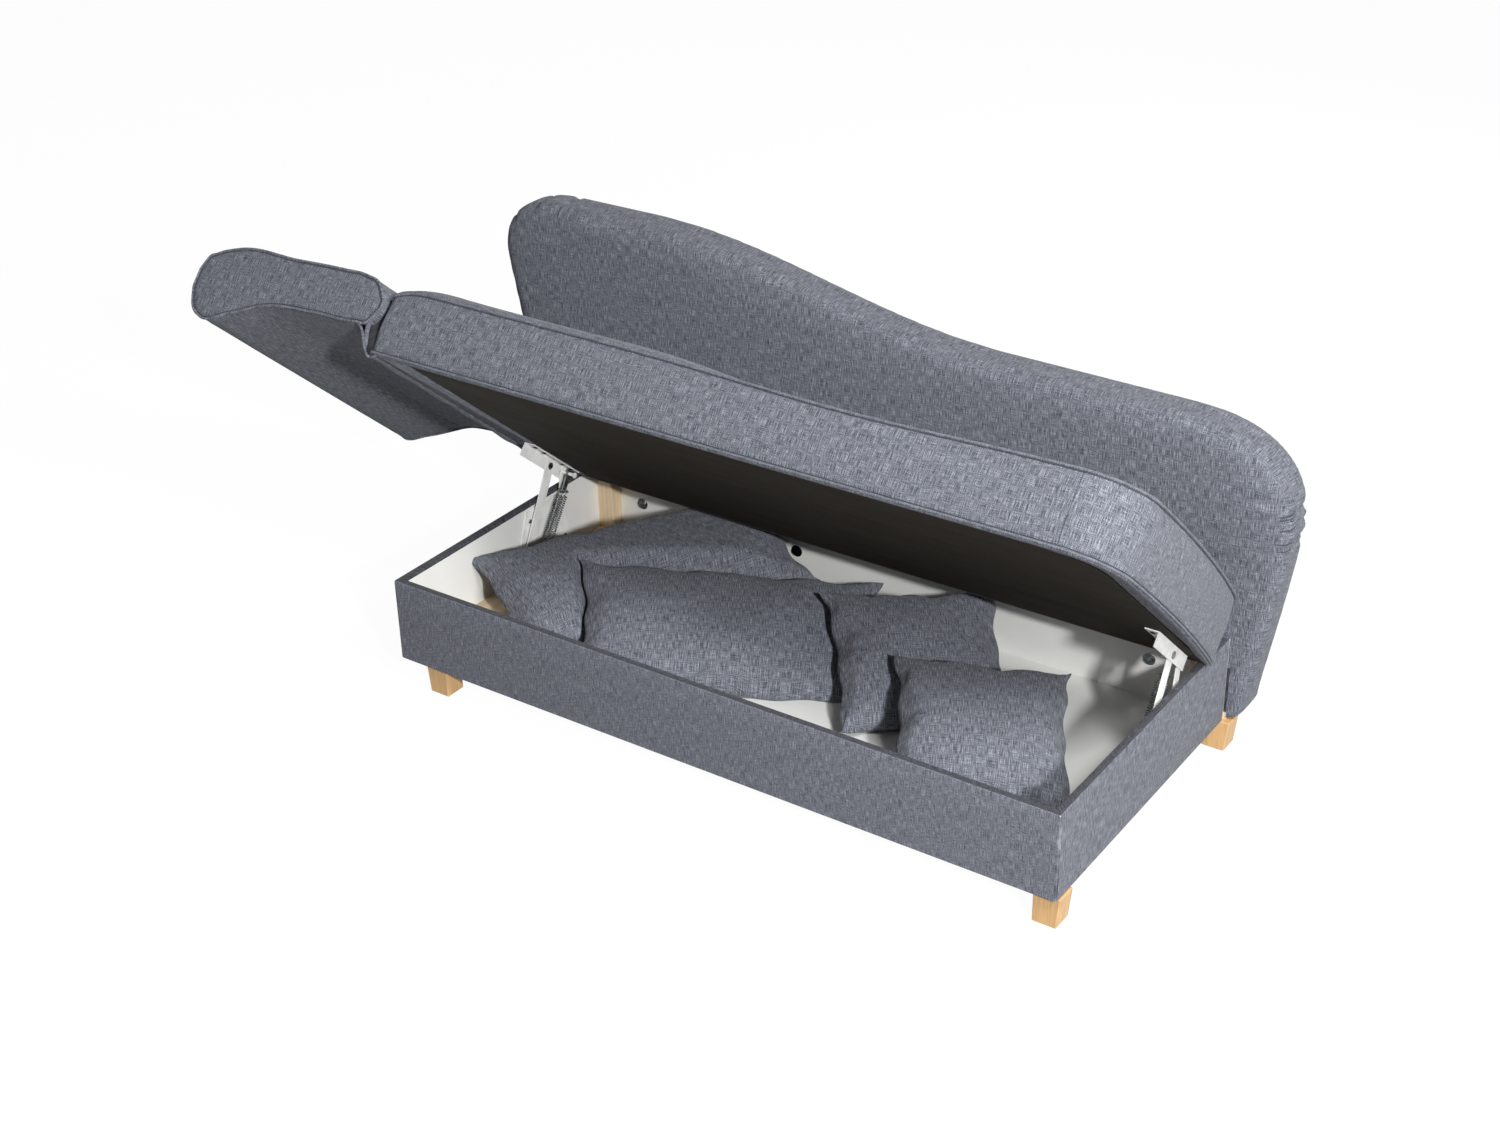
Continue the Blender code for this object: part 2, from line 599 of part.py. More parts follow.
def build_backrest():
    """Padded wave panel with its board and back cover let in from behind, and a rail let in from below."""
    foot_row = BOX_DEPTH + FOOT_REAR_OUT
    rail_right = BOX_LENGTH + BACK_RAIL_RIGHT
    front = BOX_DEPTH + GAP
    rear = BOX_DEPTH + BACK_THICKNESS
    board_front = rear - BACK_COVER - GAP - BACK_BOARD
    pad = place_piece("backrest_pad", plate_mesh("backrest_pad", backrest_outline(), "Y", front, rear,
                                                 BACK_ROUND), FABRIC, ROOT)
    pocket = plate_mesh("backrest_pocket", backrest_outline(BACK_RIM), "Y", board_front - GAP, rear + THROUGH)
    cut(pad, pocket)
    rail_top = FOOT_HEIGHT + BACK_RAIL_HEIGHT
    cut(pad, block_mesh("rail_pocket", (BACK_RAIL_LEFT - GAP, BOX_DEPTH - THROUGH, FOOT_HEIGHT - THROUGH),
                        (rail_right + GAP, board_front - GAP + LID_GAP, rail_top + GAP)))
    board = plate_mesh("backrest_board", backrest_outline(BACK_RIM + GAP), "Y", board_front,
                       board_front + BACK_BOARD)
    place_piece("backrest_board", board, PLYWOOD, ROOT)
    cover = plate_mesh("backrest_back_cover", backrest_outline(BACK_RIM + GAP), "Y", rear - BACK_COVER, rear)
    place_piece("backrest_back_cover", cover, FABRIC, ROOT)
    rail = place_piece("backrest_lower_rail", block_mesh("backrest_lower_rail",
                       (BACK_RAIL_LEFT, front, FOOT_HEIGHT + GAP),
                       (rail_right, board_front - GAP, rail_top)), PINE, ROOT)
    for x in (FOOT_LEFT, BOX_LENGTH - FOOT_REAR_RIGHT):
        cut(rail, rod_mesh("foot_hole", BOLT_RADIUS + GAP, (x, foot_row, FOOT_HEIGHT - THROUGH),
                           (x, foot_row, FOOT_HEIGHT + FOOT_BOLT_REACH + GAP), 12))
    height = FOOT_HEIGHT + BACK_BOLT_HEIGHT
    head = BOX_DEPTH - PANEL - GAP
    end = front + BACK_BOLT_REACH
    for number, x in enumerate(back_bolt_places()):
        cut(rail, rod_mesh("bolt_hole", BOLT_RADIUS + GAP, (x, front - THROUGH, height), (x, end + GAP, height)))
        shank = rod_mesh("backrest_bolt", BOLT_RADIUS, (x, head - BOLT_HEAD_HEIGHT / 2.0, height), (x, end, height))
        bolt = place_piece("backrest_bolt_%d" % (number + 1), shank, ZINC, ROOT)
        cut(bolt, rod_mesh("bolt_head", BOLT_HEAD_RADIUS, (x, head - BOLT_HEAD_HEIGHT, height),
                           (x, head, height)), "UNION")


# Lifting seat, in the seat's own coordinates: y runs back to its rear edge at 0, z up from its underside


def seat_right(along):
    """X of the seat's right end at a distance from its rear edge: a shallow bow with a round front corner."""
    bow = SEAT_BOW * np.sin(np.pi * np.clip(along / SEAT_BOW_LENGTH, 0.0, 1.0)) ** 0.8
    turn = np.clip((along - (SEAT_DEPTH - SEAT_CORNER)) / SEAT_CORNER, 0.0, 1.0)
    return BOX_LENGTH + SEAT_RIGHT + bow - SEAT_CORNER * (1.0 - np.sqrt(1.0 - turn ** 2))


def seat_form(u, v, w):
    """Crowned seat: sides drawn in at top and bottom, a shallow dip along its middle, flat underside."""
    spread = 0.5 * v + 0.5 * np.sin(np.pi * v / 2.0)
    draw = SEAT_DRAW * w ** 2
    along = SEAT_DEPTH * (1.0 - spread) / 2.0
    right = seat_right(along) - draw
    left = SEAT_LEFT + draw
    x = left + (right - left) * (u + 1.0) / 2.0
    y = -along - draw * v
    wave = SEAT_DIP * np.exp(-((x - BOX_LENGTH + SEAT_DIP_PLACE) / SEAT_DIP_WIDTH) ** 2)
    crown = SEAT_CROWN * (1.0 - u ** 4) * (1.0 - v ** 4)
    top = SEAT_THICKNESS - SEAT_EDGE_DROP - wave + crown
    return x, y, top * (w + 1.0) / 2.0


def lid_outline(spread=0.0):
    """The board under the seat: the seat's outline drawn in, with a round front right corner."""
    left = SEAT_LEFT + LID_INSET - spread
    right = BOX_LENGTH + LID_RIGHT + spread
    front = -SEAT_DEPTH + LID_INSET - spread
    rear = -LID_INSET + spread
    corner = arc((right - SEAT_CORNER, front + SEAT_CORNER), (SEAT_CORNER, SEAT_CORNER), -90, 0, 7)
    return [(left, front)] + corner + [(right, rear), (left, rear)]


def build_seat():
    """Pad with a pocket underneath, the board and four rails in the pocket."""
    pad = place_piece("seat_pad", soft_mesh("seat_pad", (16, 10, 3), seat_form), FABRIC, LID)
    left = SEAT_LEFT + LID_INSET
    front = -SEAT_DEPTH + LID_CORNER_INSET
    rear = -LID_INSET
    rail_low = LID_BOARD + GAP
    rail_high = rail_low + LID_RAIL_HEIGHT
    cut(pad, plate_mesh("board_pocket", lid_outline(GAP), "Z", -THROUGH, LID_BOARD + GAP / 2.0))
    low = (left - GAP, front - GAP, LID_BOARD / 4.0)
    rail_right = BOX_LENGTH - LID_RAIL_RIGHT
    cut(pad, block_mesh("rail_pocket", low, (rail_right + GAP, rear + GAP, rail_high + GAP)))
    place_piece("lid_board", plate_mesh("lid_board", lid_outline(), "Z", 0.0, LID_BOARD), FIBREBOARD, LID)
    width = LID_RAIL_WIDTH
    rails = {
        "lid_rail_front": ((left, front), (rail_right, front + width)),
        "lid_rail_rear": ((left, rear - width), (rail_right, rear)),
        "lid_rail_left": ((left, front + width + GAP), (left + width, rear - width - GAP)),
        "lid_rail_right": ((rail_right - width, front + width + GAP), (rail_right, rear - width - GAP)),
    }
    for name, (low, high) in rails.items():
        place_piece(name, block_mesh(name, (*low, rail_low), (*high, rail_high)), PINE, LID)
    return pad, rail_high


# Headrest, in the headrest's own coordinates about its hinge axis


def head_form(u, v, w):
    """Padded headrest: top and underside run through their profile points, drawn in at both sides."""
    spread = 0.5 * u + 0.5 * np.sin(np.pi * u / 2.0)
    x = -HEAD_GAP + (HEAD_REACH - HEAD_GAP) * (spread - 1.0) / 2.0
    top = smooth_through(HEAD_TOP, x)
    under = smooth_through(HEAD_UNDERSIDE, x)
    middle = (top + under) / 2.0
    tuck = 1.0 - 0.06 * v ** 6
    draw = HEAD_DRAW * w ** 2
    y = -SEAT_DEPTH / 2.0 + (SEAT_DEPTH / 2.0 - draw) * v
    z = middle + (top - under) / 2.0 * w * tuck
    return x + HINGE_OUT, y, z - HINGE_W


def board_strip(low, high, spread=0.0):
    """Outline in (x, z) of a strip that follows the headrest's underside, longer by spread at both ends."""
    xs = np.linspace(-HEAD_BOARD_FAR, -HEAD_BOARD_NEAR, 13)
    under = smooth_through(HEAD_UNDERSIDE, xs) - HINGE_W
    xs = xs + HINGE_OUT
    xs[0] -= spread
    xs[-1] += spread
    lower = [(float(x), float(z)) for x, z in zip(xs, under + low)]
    upper = [(float(x), float(z)) for x, z in zip(xs, under + high)]
    return lower + upper[::-1]


def build_headrest(seat_pad, rail_high):
    """Pad, curved board under it, and two hinges whose leaves lie in slots of both pads."""
    pad = place_piece("headrest_pad", soft_mesh("headrest_pad", (16, 6, 3), head_form), FABRIC, HEAD)
    low = -SEAT_DEPTH + HEAD_BOARD_INSET
    high = -HEAD_BOARD_INSET
    pocket = board_strip(-HEAD_POCKET_DROP, HEAD_BOARD + GAP, GAP)
    cut(pad, plate_mesh("board_pocket", pocket, "Y", low - GAP, high + GAP))
    board = plate_mesh("headrest_board", board_strip(0.0, HEAD_BOARD), "Y", low, high)
    place_piece("headrest_board", board, PLYWOOD, HEAD)
    far, middle, near = (HINGE_OUT - reach for reach in (HINGE_LEAF_FAR, HINGE_LEAF_MIDDLE, HINGE_LEAF_NEAR))
    rests = smooth_through(HEAD_UNDERSIDE, np.array([far, middle, near]) - HINGE_OUT)
    far_rest, middle_rest, near_rest = (float(rest) for rest in rests + HEAD_BOARD + GAP - HINGE_W)
    rise = rail_high + GAP
    for row, centre in (("front", -SEAT_DEPTH + HINGE_INSET), ("rear", -HINGE_INSET)):
        head_side = (centre - GAP - HINGE_PLATE, centre - GAP)
        seat_side = (centre, centre + HINGE_PLATE)
        eye = arc((0.0, 0.0), (HINGE_EYE, HINGE_EYE), -80, 110, 9)
        leaf = [(far, far_rest), (middle, middle_rest + GAP), (near, near_rest)] + eye
        leaf += [((middle + near) / 2.0, middle_rest + HINGE_LEAF_RISE), (far, far_rest + HINGE_LEAF_END)]
        name = "hinge_head_leaf_" + row
        plate = place_piece(name, plate_mesh(name, leaf, "Y", *head_side), ZINC, HEAD)
        cut(plate, rod_mesh("pin_hole", PIN_RADIUS + RUN, (0.0, head_side[0] - THROUGH, 0.0),
                            (0.0, head_side[1] + THROUGH, 0.0)))
        cut(pad, block_mesh("leaf_slot", (far - HINGE_SLOT_SIDE, head_side[0] - HINGE_SLOT_SIDE, -HINGE_W),
                            (HINGE_SLOT_REACH, seat_side[1] + HINGE_SLOT_SIDE, HINGE_SLOT_TOP)))
        name = "hinge_seat_leaf_" + row
        back = arc((-HINGE_OUT, HINGE_W), (HINGE_EYE, HINGE_EYE), 60, 250, 9)
        leaf = back + [(0.0, rise + HINGE_PLATE), (SEAT_LEAF_NEAR, rise), (SEAT_LEAF_FAR, rise),
                       (SEAT_LEAF_FAR, rise + SEAT_LEAF_END), (SEAT_LEAF_NEAR, rise + HINGE_LEAF_RISE)]
        plate = place_piece(name, plate_mesh(name, leaf, "Y", *seat_side), ZINC, LID)
        cut(plate, rod_mesh("pin", PIN_RADIUS, (-HINGE_OUT, head_side[0] - HINGE_PLATE, HINGE_W),
                            (-HINGE_OUT, seat_side[1] + SEAT_SLOT_SIDE, HINGE_W)), "UNION")
        cut(seat_pad, block_mesh("leaf_slot", (-THROUGH, seat_side[0] - SEAT_SLOT_SIDE, rail_high - HINGE_PLATE),
                                 (SEAT_LEAF_FAR + 2.0 * GAP, seat_side[1] + SEAT_SLOT_SIDE,
                                  HINGE_W + HINGE_LEAF_RISE)))


# Lift fittings


def build_fitting(side):
    """One lift fitting: base plate with studs, front and rear link, bracket, pin, hook and two springs."""
    outward = 1 if side == "left" else -1
    panel = 0.0 if side == "left" else BOX_LENGTH
    pivot = LINKS["pivot"]
    rear_pivot = LINKS["rear_pivot"]
    anchor = np.array([BOX_DEPTH - SPRING_ANCHOR[0], FOOT_HEIGHT + SPRING_ANCHOR[1]])
    plate_span = across(side, PLATE_NEAR, PLATE_FAR)
    outline = [(pivot[0] + back, FOOT_HEIGHT + up) for back, up in PLATE_OUTLINE]
    name = "base_plate_" + side
    plate = place_piece(name, plate_mesh(name, outline, "X", *plate_span), WHITE_STEEL, ROOT)
    root = PLATE_NEAR + PLATE_BITE
    stud = [(root, 0.0), (root, PIN_HEAD), (LINK_NEAR - RUN, PIN_HEAD), (LINK_NEAR - RUN, PIN_RADIUS),
            (LINK_FAR + RUN, PIN_RADIUS), (LINK_FAR + RUN, PIN_HEAD), (LINK_FAR + PIN_CAP, PIN_HEAD),
            (LINK_FAR + PIN_CAP, 0.0)]
    for centre in (pivot, rear_pivot):
        cut(plate, turned_mesh("stud", stud, (panel, *centre), outward), "UNION")
    start, end = across(side, root, STUD_END)
    cut(plate, rod_mesh("spring_bar", SPRING_BAR, (start, *anchor), (end, *anchor), 12), "UNION")

    link_span = across(side, LINK_NEAR, LINK_FAR)
    hole_span = (link_span[0] - THROUGH, link_span[1] + THROUGH)
    name = "front_link_" + side
    bar = plate_mesh(name, link_outline(LINKS["length"], LINK_NEAR_RADIUS, LINK_FAR_RADIUS), "X", *link_span)
    link = place_piece(name, bar, WHITE_STEEL, FRONT_LINK[side])
    for along in (0.0, LINKS["length"]):
        cut(link, rod_mesh("pin_hole", PIN_RADIUS + RUN, (hole_span[0], along, 0.0), (hole_span[1], along, 0.0)))
    name = "rear_link_" + side
    bar = plate_mesh(name, link_outline(LINKS["rear_length"], REAR_NEAR_RADIUS, REAR_FAR_RADIUS), "X", *link_span)
    link = place_piece(name, bar, WHITE_STEEL, REAR_LINK[side])
    cut(link, rod_mesh("pin_hole", PIN_RADIUS + RUN, (hole_span[0], 0.0, 0.0), (hole_span[1], 0.0, 0.0)))
    head = BRACKET_NEAR - PIN_CAP
    stud = [(head, 0.0), (head, REAR_HEAD), (head + REAR_HEAD_CAP, REAR_HEAD), (head + REAR_HEAD_CAP, PIN_RADIUS),
            (STUD_END - PIN_CAP, PIN_RADIUS), (STUD_END - PIN_CAP, STUD_CAP), (STUD_END, STUD_CAP), (STUD_END, 0.0)]
    cut(link, turned_mesh("rear_stud", stud, (panel, LINKS["rear_length"], 0.0), outward), "UNION")

    pull = anchor - LINKS["stud"]
    pull_angle = math.atan2(pull[1], pull[0])
    hook_angle = pull_angle - LINKS["rear_angle"]
    name = "spring_hook_" + side
    hook_span = across(side, HOOK_NEAR, HOOK_FAR)
    outline = link_outline(HOOK_LENGTH, HOOK_NEAR_RADIUS, HOOK_FAR_RADIUS, (LINKS["rear_length"], 0.0), hook_angle)
    hook = place_piece(name, plate_mesh(name, outline, "X", *hook_span), ZINC, REAR_LINK[side])
    cut(hook, rod_mesh("pin_hole", PIN_RADIUS + GAP, (hook_span[0] - THROUGH, LINKS["rear_length"], 0.0),
                       (hook_span[1] + THROUGH, LINKS["rear_length"], 0.0)))
    end_y = LINKS["rear_length"] + HOOK_LENGTH * math.cos(hook_angle)
    end_z = HOOK_LENGTH * math.sin(hook_angle)
    start, end = across(side, SPRING_PLACES[0] - HOOK_BAR_PAST, SPRING_PLACES[1] + HOOK_BAR_PAST)
    cut(hook, rod_mesh("hook_bar", HOOK_BAR, (start, end_y, end_z), (end, end_y, end_z), 12), "UNION")

    near, far = across(side, BRACKET_NEAR, BRACKET_FLANGE)
    web = across(side, BRACKET_NEAR, BRACKET_FAR)
    low = -GAP - STEEL
    if side == "left":
        profile = [(near, -BRACKET_DROP), (web[1], -BRACKET_DROP), (web[1], low), (far, low), (far, -GAP),
                   (near, -GAP)]
    else:
        profile = [(web[0], -BRACKET_DROP), (far, -BRACKET_DROP), (far, -GAP), (near, -GAP), (near, low),
                   (web[0], low)]
    name = "top_bracket_" + side
    bracket = place_piece(name, plate_mesh(name, profile, "Y", -BRACKET_FRONT, -BRACKET_REAR), WHITE_STEEL, LID)
    hole = (-LINK_SEAT[0], LINK_SEAT[1])
    cut(bracket, rod_mesh("pin_hole", PIN_RADIUS + GAP, (web[0] - THROUGH, *hole), (web[1] + THROUGH, *hole)))
    slot_low, slot_high = LINKS["slot_along"]
    up_low, up_high = LINKS["slot_up"]
    radius = PIN_RADIUS + RUN + GAP + (up_high - up_low) / 2.0
    slot = link_outline(slot_high - slot_low + GAP, radius, radius, (-slot_high, (up_low + up_high) / 2.0))
    slot = [(y, min(z, low - 2.0 * GAP)) for y, z in slot]
    cut(bracket, plate_mesh("stud_slot", slot, "X", web[0] - PIN_RADIUS, web[1] + PIN_RADIUS))
    pin = [(head, 0.0), (head, PIN_HEAD), (BRACKET_NEAR - GAP, PIN_HEAD), (BRACKET_NEAR - GAP, PIN_RADIUS),
           (LINK_FAR + RUN, PIN_RADIUS), (LINK_FAR + RUN, PIN_HEAD), (LINK_FAR + PIN_CAP, PIN_HEAD),
           (LINK_FAR + PIN_CAP, 0.0)]
    name = "link_pin_" + side
    place_piece(name, turned_mesh(name, pin, (panel, *hole), outward), ZINC, LID)
    for place, kind in zip(SPRING_PLACES, ("outer", "inner")):
        build_spring("spring_%s_%s" % (kind, side), panel + outward * place, anchor)


def build_spring(name, x, anchor):
    """A tension spring from the base plate's bar to the hook's bar: a coil whose ends run straight on its axis."""
    pull = LINKS["stud"] - anchor
    reach = float(np.linalg.norm(pull))
    low = SPRING_BAR + GAP + SPRING_WIRE * 0.2
    high = reach - HOOK_LENGTH - HOOK_BAR - GAP - SPRING_WIRE * 0.2
    tail = 2.5 * SPRING_WIRE
    turns = np.linspace(0.0, SPRING_CURLS, SPRING_CURLS * SPRING_POINTS + 1)
    ease = np.clip(np.minimum(turns, SPRING_CURLS - turns) / 0.75, 0.0, 1.0)
    radius = SPRING_RADIUS * ease * ease * (3.0 - 2.0 * ease)
    along = low + tail + (high - low - 2.0 * tail) * turns / SPRING_CURLS
    angle = 2.0 * np.pi * turns
    path = np.column_stack([radius * np.cos(angle), radius * np.sin(angle), along])
    path = np.vstack([[0.0, 0.0, low], path, [0.0, 0.0, high]])
    apart = np.linalg.norm(path[:, None] - path[None], axis=2)
    steps = np.abs(np.arange(len(path))[:, None] - np.arange(len(path))[None])
    least = apart[steps >= SPRING_POINTS // 2].min() - 2.0 * SPRING_WIRE
    print("%s least gap to itself %.2f mm" % (name, least * 1000.0))
    curve = bpy.data.curves.new(name, "CURVE")
    curve.dimensions = "3D"
    curve.bevel_depth = SPRING_WIRE
    curve.bevel_resolution = 1
    curve.use_fill_caps = True
    spline = curve.splines.new("POLY")
    spline.points.add(len(path) - 1)
    for point, place in zip(spline.points, path):
        point.co = (*place, 1.0)
    spring = bpy.data.objects.new(name, curve)
    curve.materials.append(ZINC)
    spring.parent = ROOT
    spring.location = (x, *anchor)
    spring.rotation_euler = (-math.pi / 2.0 + math.atan2(pull[1], pull[0]), 0.0, 0.0)
    PARTS.objects.link(spring)


# Loose cushions in the box


def cushion_mesh(name, width, depth, thickness, grow=0.0):
    """A knife-edge cushion: two crowned halves, edges drawn in between its corners; it may be grown evenly."""

    def form(u, v, w):
        fat = (np.clip(1.0 - u ** 2, 0.0, 1.0) * np.clip(1.0 - v ** 2, 0.0, 1.0)) ** 0.45
        x = width / 2.0 * u * (1.0 - CUSHION_DRAW * (1.0 - v ** 2))
        y = depth / 2.0 * v * (1.0 - CUSHION_DRAW * (1.0 - u ** 2))
        return x, y, w * (CUSHION_EDGE / 2.0 + thickness / 2.0 * fat)

    mesh = soft_mesh(name, (10, 8, 1), form)
    shape = bmesh.new()
    shape.from_mesh(mesh)
    bmesh.ops.triangulate(shape, faces=shape.faces, quad_method="FIXED")
    shape.normal_update()
    for vert, out in [(vert, vert.normal.copy()) for vert in shape.verts]:
        vert.co += out * grow * vert.calc_shell_factor()
    return mesh_of(name, shape)


def build_cushions():
    """Four loose cushions, each resting on the one before; the lower one is dented by its neighbours."""
    spread_x = (BOX_LENGTH - 2.0 * PANEL) / PILE_LENGTH
    spread_y = (BOX_DEPTH - 2.0 * PANEL) / PILE_DEPTH
    fit = min(spread_x, spread_y)
    pieces = []
    for name, *sizes, x, y, height, turn, lean, side in CUSHIONS:
        width, depth, thickness = (size * fit for size in sizes)
        piece = place_piece(name, cushion_mesh(name, width, depth, thickness), FABRIC, ROOT)
        spin = Matrix.Rotation(math.radians(turn), 4, "Z") @ Matrix.Rotation(math.radians(lean), 4, "X")
        spin = spin @ Matrix.Rotation(math.radians(side), 4, "Y")
        centre = (PANEL + x * spread_x, PANEL + y * spread_y, FLOOR + height * fit)
        piece.matrix_basis = Matrix.Translation(centre) @ spin
        for below in pieces:
            dent = cut(below, cushion_mesh("dent", width, depth, thickness, CUSHION_CLEAR))
            dent.matrix_basis = piece.matrix_basis
        pieces.append(piece)


build_box()
build_feet()
build_backrest()
SEAT_PAD, RAIL_HIGH = build_seat()
build_headrest(SEAT_PAD, RAIL_HIGH)
for side_name in SIDES:
    build_fitting(side_name)
build_cushions()

bpy.context.view_layer.update()
for body in [LID, HEAD] + list(FRONT_LINK.values()) + list(REAR_LINK.values()):
    print("joint", body.name, [round(value, 6) for value in body.matrix_world.translation])
print("seat pin", round(LINKS["pin"][0] - CENTRE_Y, 6), round(LINKS["pin"][1], 6))
print("centre", round(CENTRE_X, 6), round(CENTRE_Y, 6))
print("ratio", round(LINKS["rear_ratio"], 6), "tilt ratio", round(-(LID_TILT + LINK_SWING) / LINK_SWING, 6))
print("slot", [round(float(v), 5) for v in LINKS["slot_along"] + LINKS["slot_up"]])
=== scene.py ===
"""Recamier with its seat standing open: upholstery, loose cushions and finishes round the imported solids.

Seat coordinates: x along the box from its left face, y back to the seat's rear edge at 0, w up from the
seat's underside. Box coordinates: x and y from the box's left and front faces, z up from the floor.
"""

import json
import math

import bpy
import numpy as np
from mathutils import Matrix, Vector


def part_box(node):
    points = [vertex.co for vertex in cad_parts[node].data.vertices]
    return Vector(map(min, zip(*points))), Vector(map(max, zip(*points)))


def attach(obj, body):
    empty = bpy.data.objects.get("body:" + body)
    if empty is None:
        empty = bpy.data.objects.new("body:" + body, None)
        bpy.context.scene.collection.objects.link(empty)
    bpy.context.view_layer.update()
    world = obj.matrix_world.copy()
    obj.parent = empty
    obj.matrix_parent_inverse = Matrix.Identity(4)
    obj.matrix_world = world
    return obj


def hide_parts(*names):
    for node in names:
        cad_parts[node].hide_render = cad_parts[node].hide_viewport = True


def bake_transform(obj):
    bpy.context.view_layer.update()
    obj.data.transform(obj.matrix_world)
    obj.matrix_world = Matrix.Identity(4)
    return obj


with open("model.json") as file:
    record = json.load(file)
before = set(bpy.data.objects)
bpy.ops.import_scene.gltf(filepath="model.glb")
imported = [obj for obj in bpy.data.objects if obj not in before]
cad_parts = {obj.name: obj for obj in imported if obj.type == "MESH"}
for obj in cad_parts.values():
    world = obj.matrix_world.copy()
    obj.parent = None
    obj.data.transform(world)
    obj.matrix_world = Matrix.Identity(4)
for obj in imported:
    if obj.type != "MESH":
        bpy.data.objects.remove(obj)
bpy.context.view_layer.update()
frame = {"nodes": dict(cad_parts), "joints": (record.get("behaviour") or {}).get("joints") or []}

bl_info = {
    "name": "Recamier upholstery",
    "version": (1, 0, 0),
    "blender": (4, 5, 0),
    "location": "View3D > Sidebar > Recamier",
    "description": "Covers, cushions, piping, springs and finishes of a recamier with a lifting seat",
    "category": "Object",
}

NODES = frame["nodes"]
JOINTS = {joint["name"]: joint for joint in frame["joints"]}

# Places read from the frame
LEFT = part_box("box_left_panel")[0].x
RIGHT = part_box("box_right_panel")[1].x
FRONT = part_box("box_front_panel")[0].y
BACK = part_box("box_rear_panel")[1].y
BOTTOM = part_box("box_front_panel")[0].z
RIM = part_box("box_front_panel")[1].z
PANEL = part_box("box_front_panel")[1].y - FRONT
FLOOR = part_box("base_board")[1].z
BOX_LENGTH = RIGHT - LEFT
BACKREST_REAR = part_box("backrest_pad")[1].y

# The seat's own axes, from the headrest's hinge, which lies along the seat's depth
HINGE_OUT = 0.034
HINGE_UP = 0.080
HINGE = np.array(JOINTS["headrest_tilt"]["pos_m"])
LENGTHWISE = np.array([1.0, 0.0, 0.0])
SEAT_BACKWARD = np.array(JOINTS["headrest_tilt"]["axis"])
SEAT_UPWARD = np.array([0.0, -SEAT_BACKWARD[2], SEAT_BACKWARD[1]])
SEAT_ORIGIN = HINGE + HINGE_OUT * LENGTHWISE - HINGE_UP * SEAT_UPWARD

# Each frame is an origin and three axes; a piece's own numbers (a, b, c) become world places through it
SEAT_FRAME = (SEAT_ORIGIN, np.stack([LENGTHWISE, SEAT_BACKWARD, SEAT_UPWARD]))
HEAD_FRAME = (SEAT_ORIGIN, np.stack([LENGTHWISE, SEAT_UPWARD, -SEAT_BACKWARD]))
BACK_FRAME = (np.array([LEFT, FRONT, 0.0]), np.array([[1.0, 0.0, 0.0], [0.0, 0.0, 1.0], [0.0, -1.0, 0.0]]))

# Seat form
SEAT_STEP = 0.008
SEAT_DEPTH = 0.748
SEAT_EDGE_TOP = 0.147
SEAT_UNDER = 0.004
SEAT_LEFT = -0.046
SEAT_RIGHT = 0.015
SEAT_BOW = 0.040
SEAT_BOW_LENGTH = 0.950
SEAT_CORNER = 0.110
SEAT_SMALL_CORNER = 0.009
SEAT_DIP = 0.010
SEAT_DIP_PLACE = 0.530
SEAT_DIP_WIDTH = 0.300
SEAT_LEFT_DROP = 0.021
SEAT_LEFT_DROP_LENGTH = 0.090
SEAT_CROWN_REACH = 0.085
SEAT_CROWN_CHANGE = 0.720
SEAT_CROWN_CHANGE_LENGTH = 0.060

# Seat trim: lines round its side as (inset, share of the side's height), the x of an upright seam in its
# front, the hem's section as (inset, w), and the band under its left end as low x, high x, front y, rear y
SEAT_PIPING = ((0.0042, 0.990), (0.0042, 0.008))
SEAT_SEAMS = ((0.0030, 0.962), (0.0030, 0.036))
SEAT_UPRIGHT_SEAM = 1.500
SEAT_HEM = ((0.006, 0.0050), (0.006, 0.0010), (0.012, 0.0004), (0.026, 0.0004), (0.026, 0.0050))
SEAT_BAND = (-0.028, 0.056, -0.736, -0.012)
SEAT_BAND_HEIGHTS = (-0.0009, 0.0004)

# Cloth: radius of a pad's edges, how near its seams it is held when it is blown up, the pressure, the
# furthest move and the frames of that, radii of stitched lines, and how square a face lies to count as flat
PAD_EDGE = 0.005
SEAM_HOLD = 0.014
PAD_PRESSURE = 4.0
PAD_SWELL = 0.006
SWELL_FRAMES = 20
STITCH = 0.0009
FINE_STITCH = 0.0006
STITCH_SIDES = 6
FACE_ON = 0.75

# Headrest profile: (x, w) points along its top and its underside
HEAD_STEP = 0.007
HEAD_TOP = ((-0.566, 0.076), (-0.557, 0.102), (-0.535, 0.119), (-0.487, 0.139), (-0.314, 0.150),
            (-0.188, 0.156), (-0.121, 0.156), (-0.080, 0.144), (-0.054, 0.112))
HEAD_UNDERSIDE = ((-0.566, 0.036), (-0.552, 0.004), (-0.512, -0.026), (-0.440, -0.004), (-0.359, 0.031),
                  (-0.215, 0.048), (-0.106, 0.053), (-0.074, 0.060), (-0.054, 0.094))

# Headrest's rear side: its sag below a height, its stretch backward, and the x where each sets in
HEAD_CREASE = -0.075
HEAD_SAG = 0.011
HEAD_SAG_BELOW = 0.10
HEAD_SAG_LENGTH = 0.15
HEAD_REAR = 0.016
HEAD_REAR_START = -0.300
HEAD_EASE = 0.08

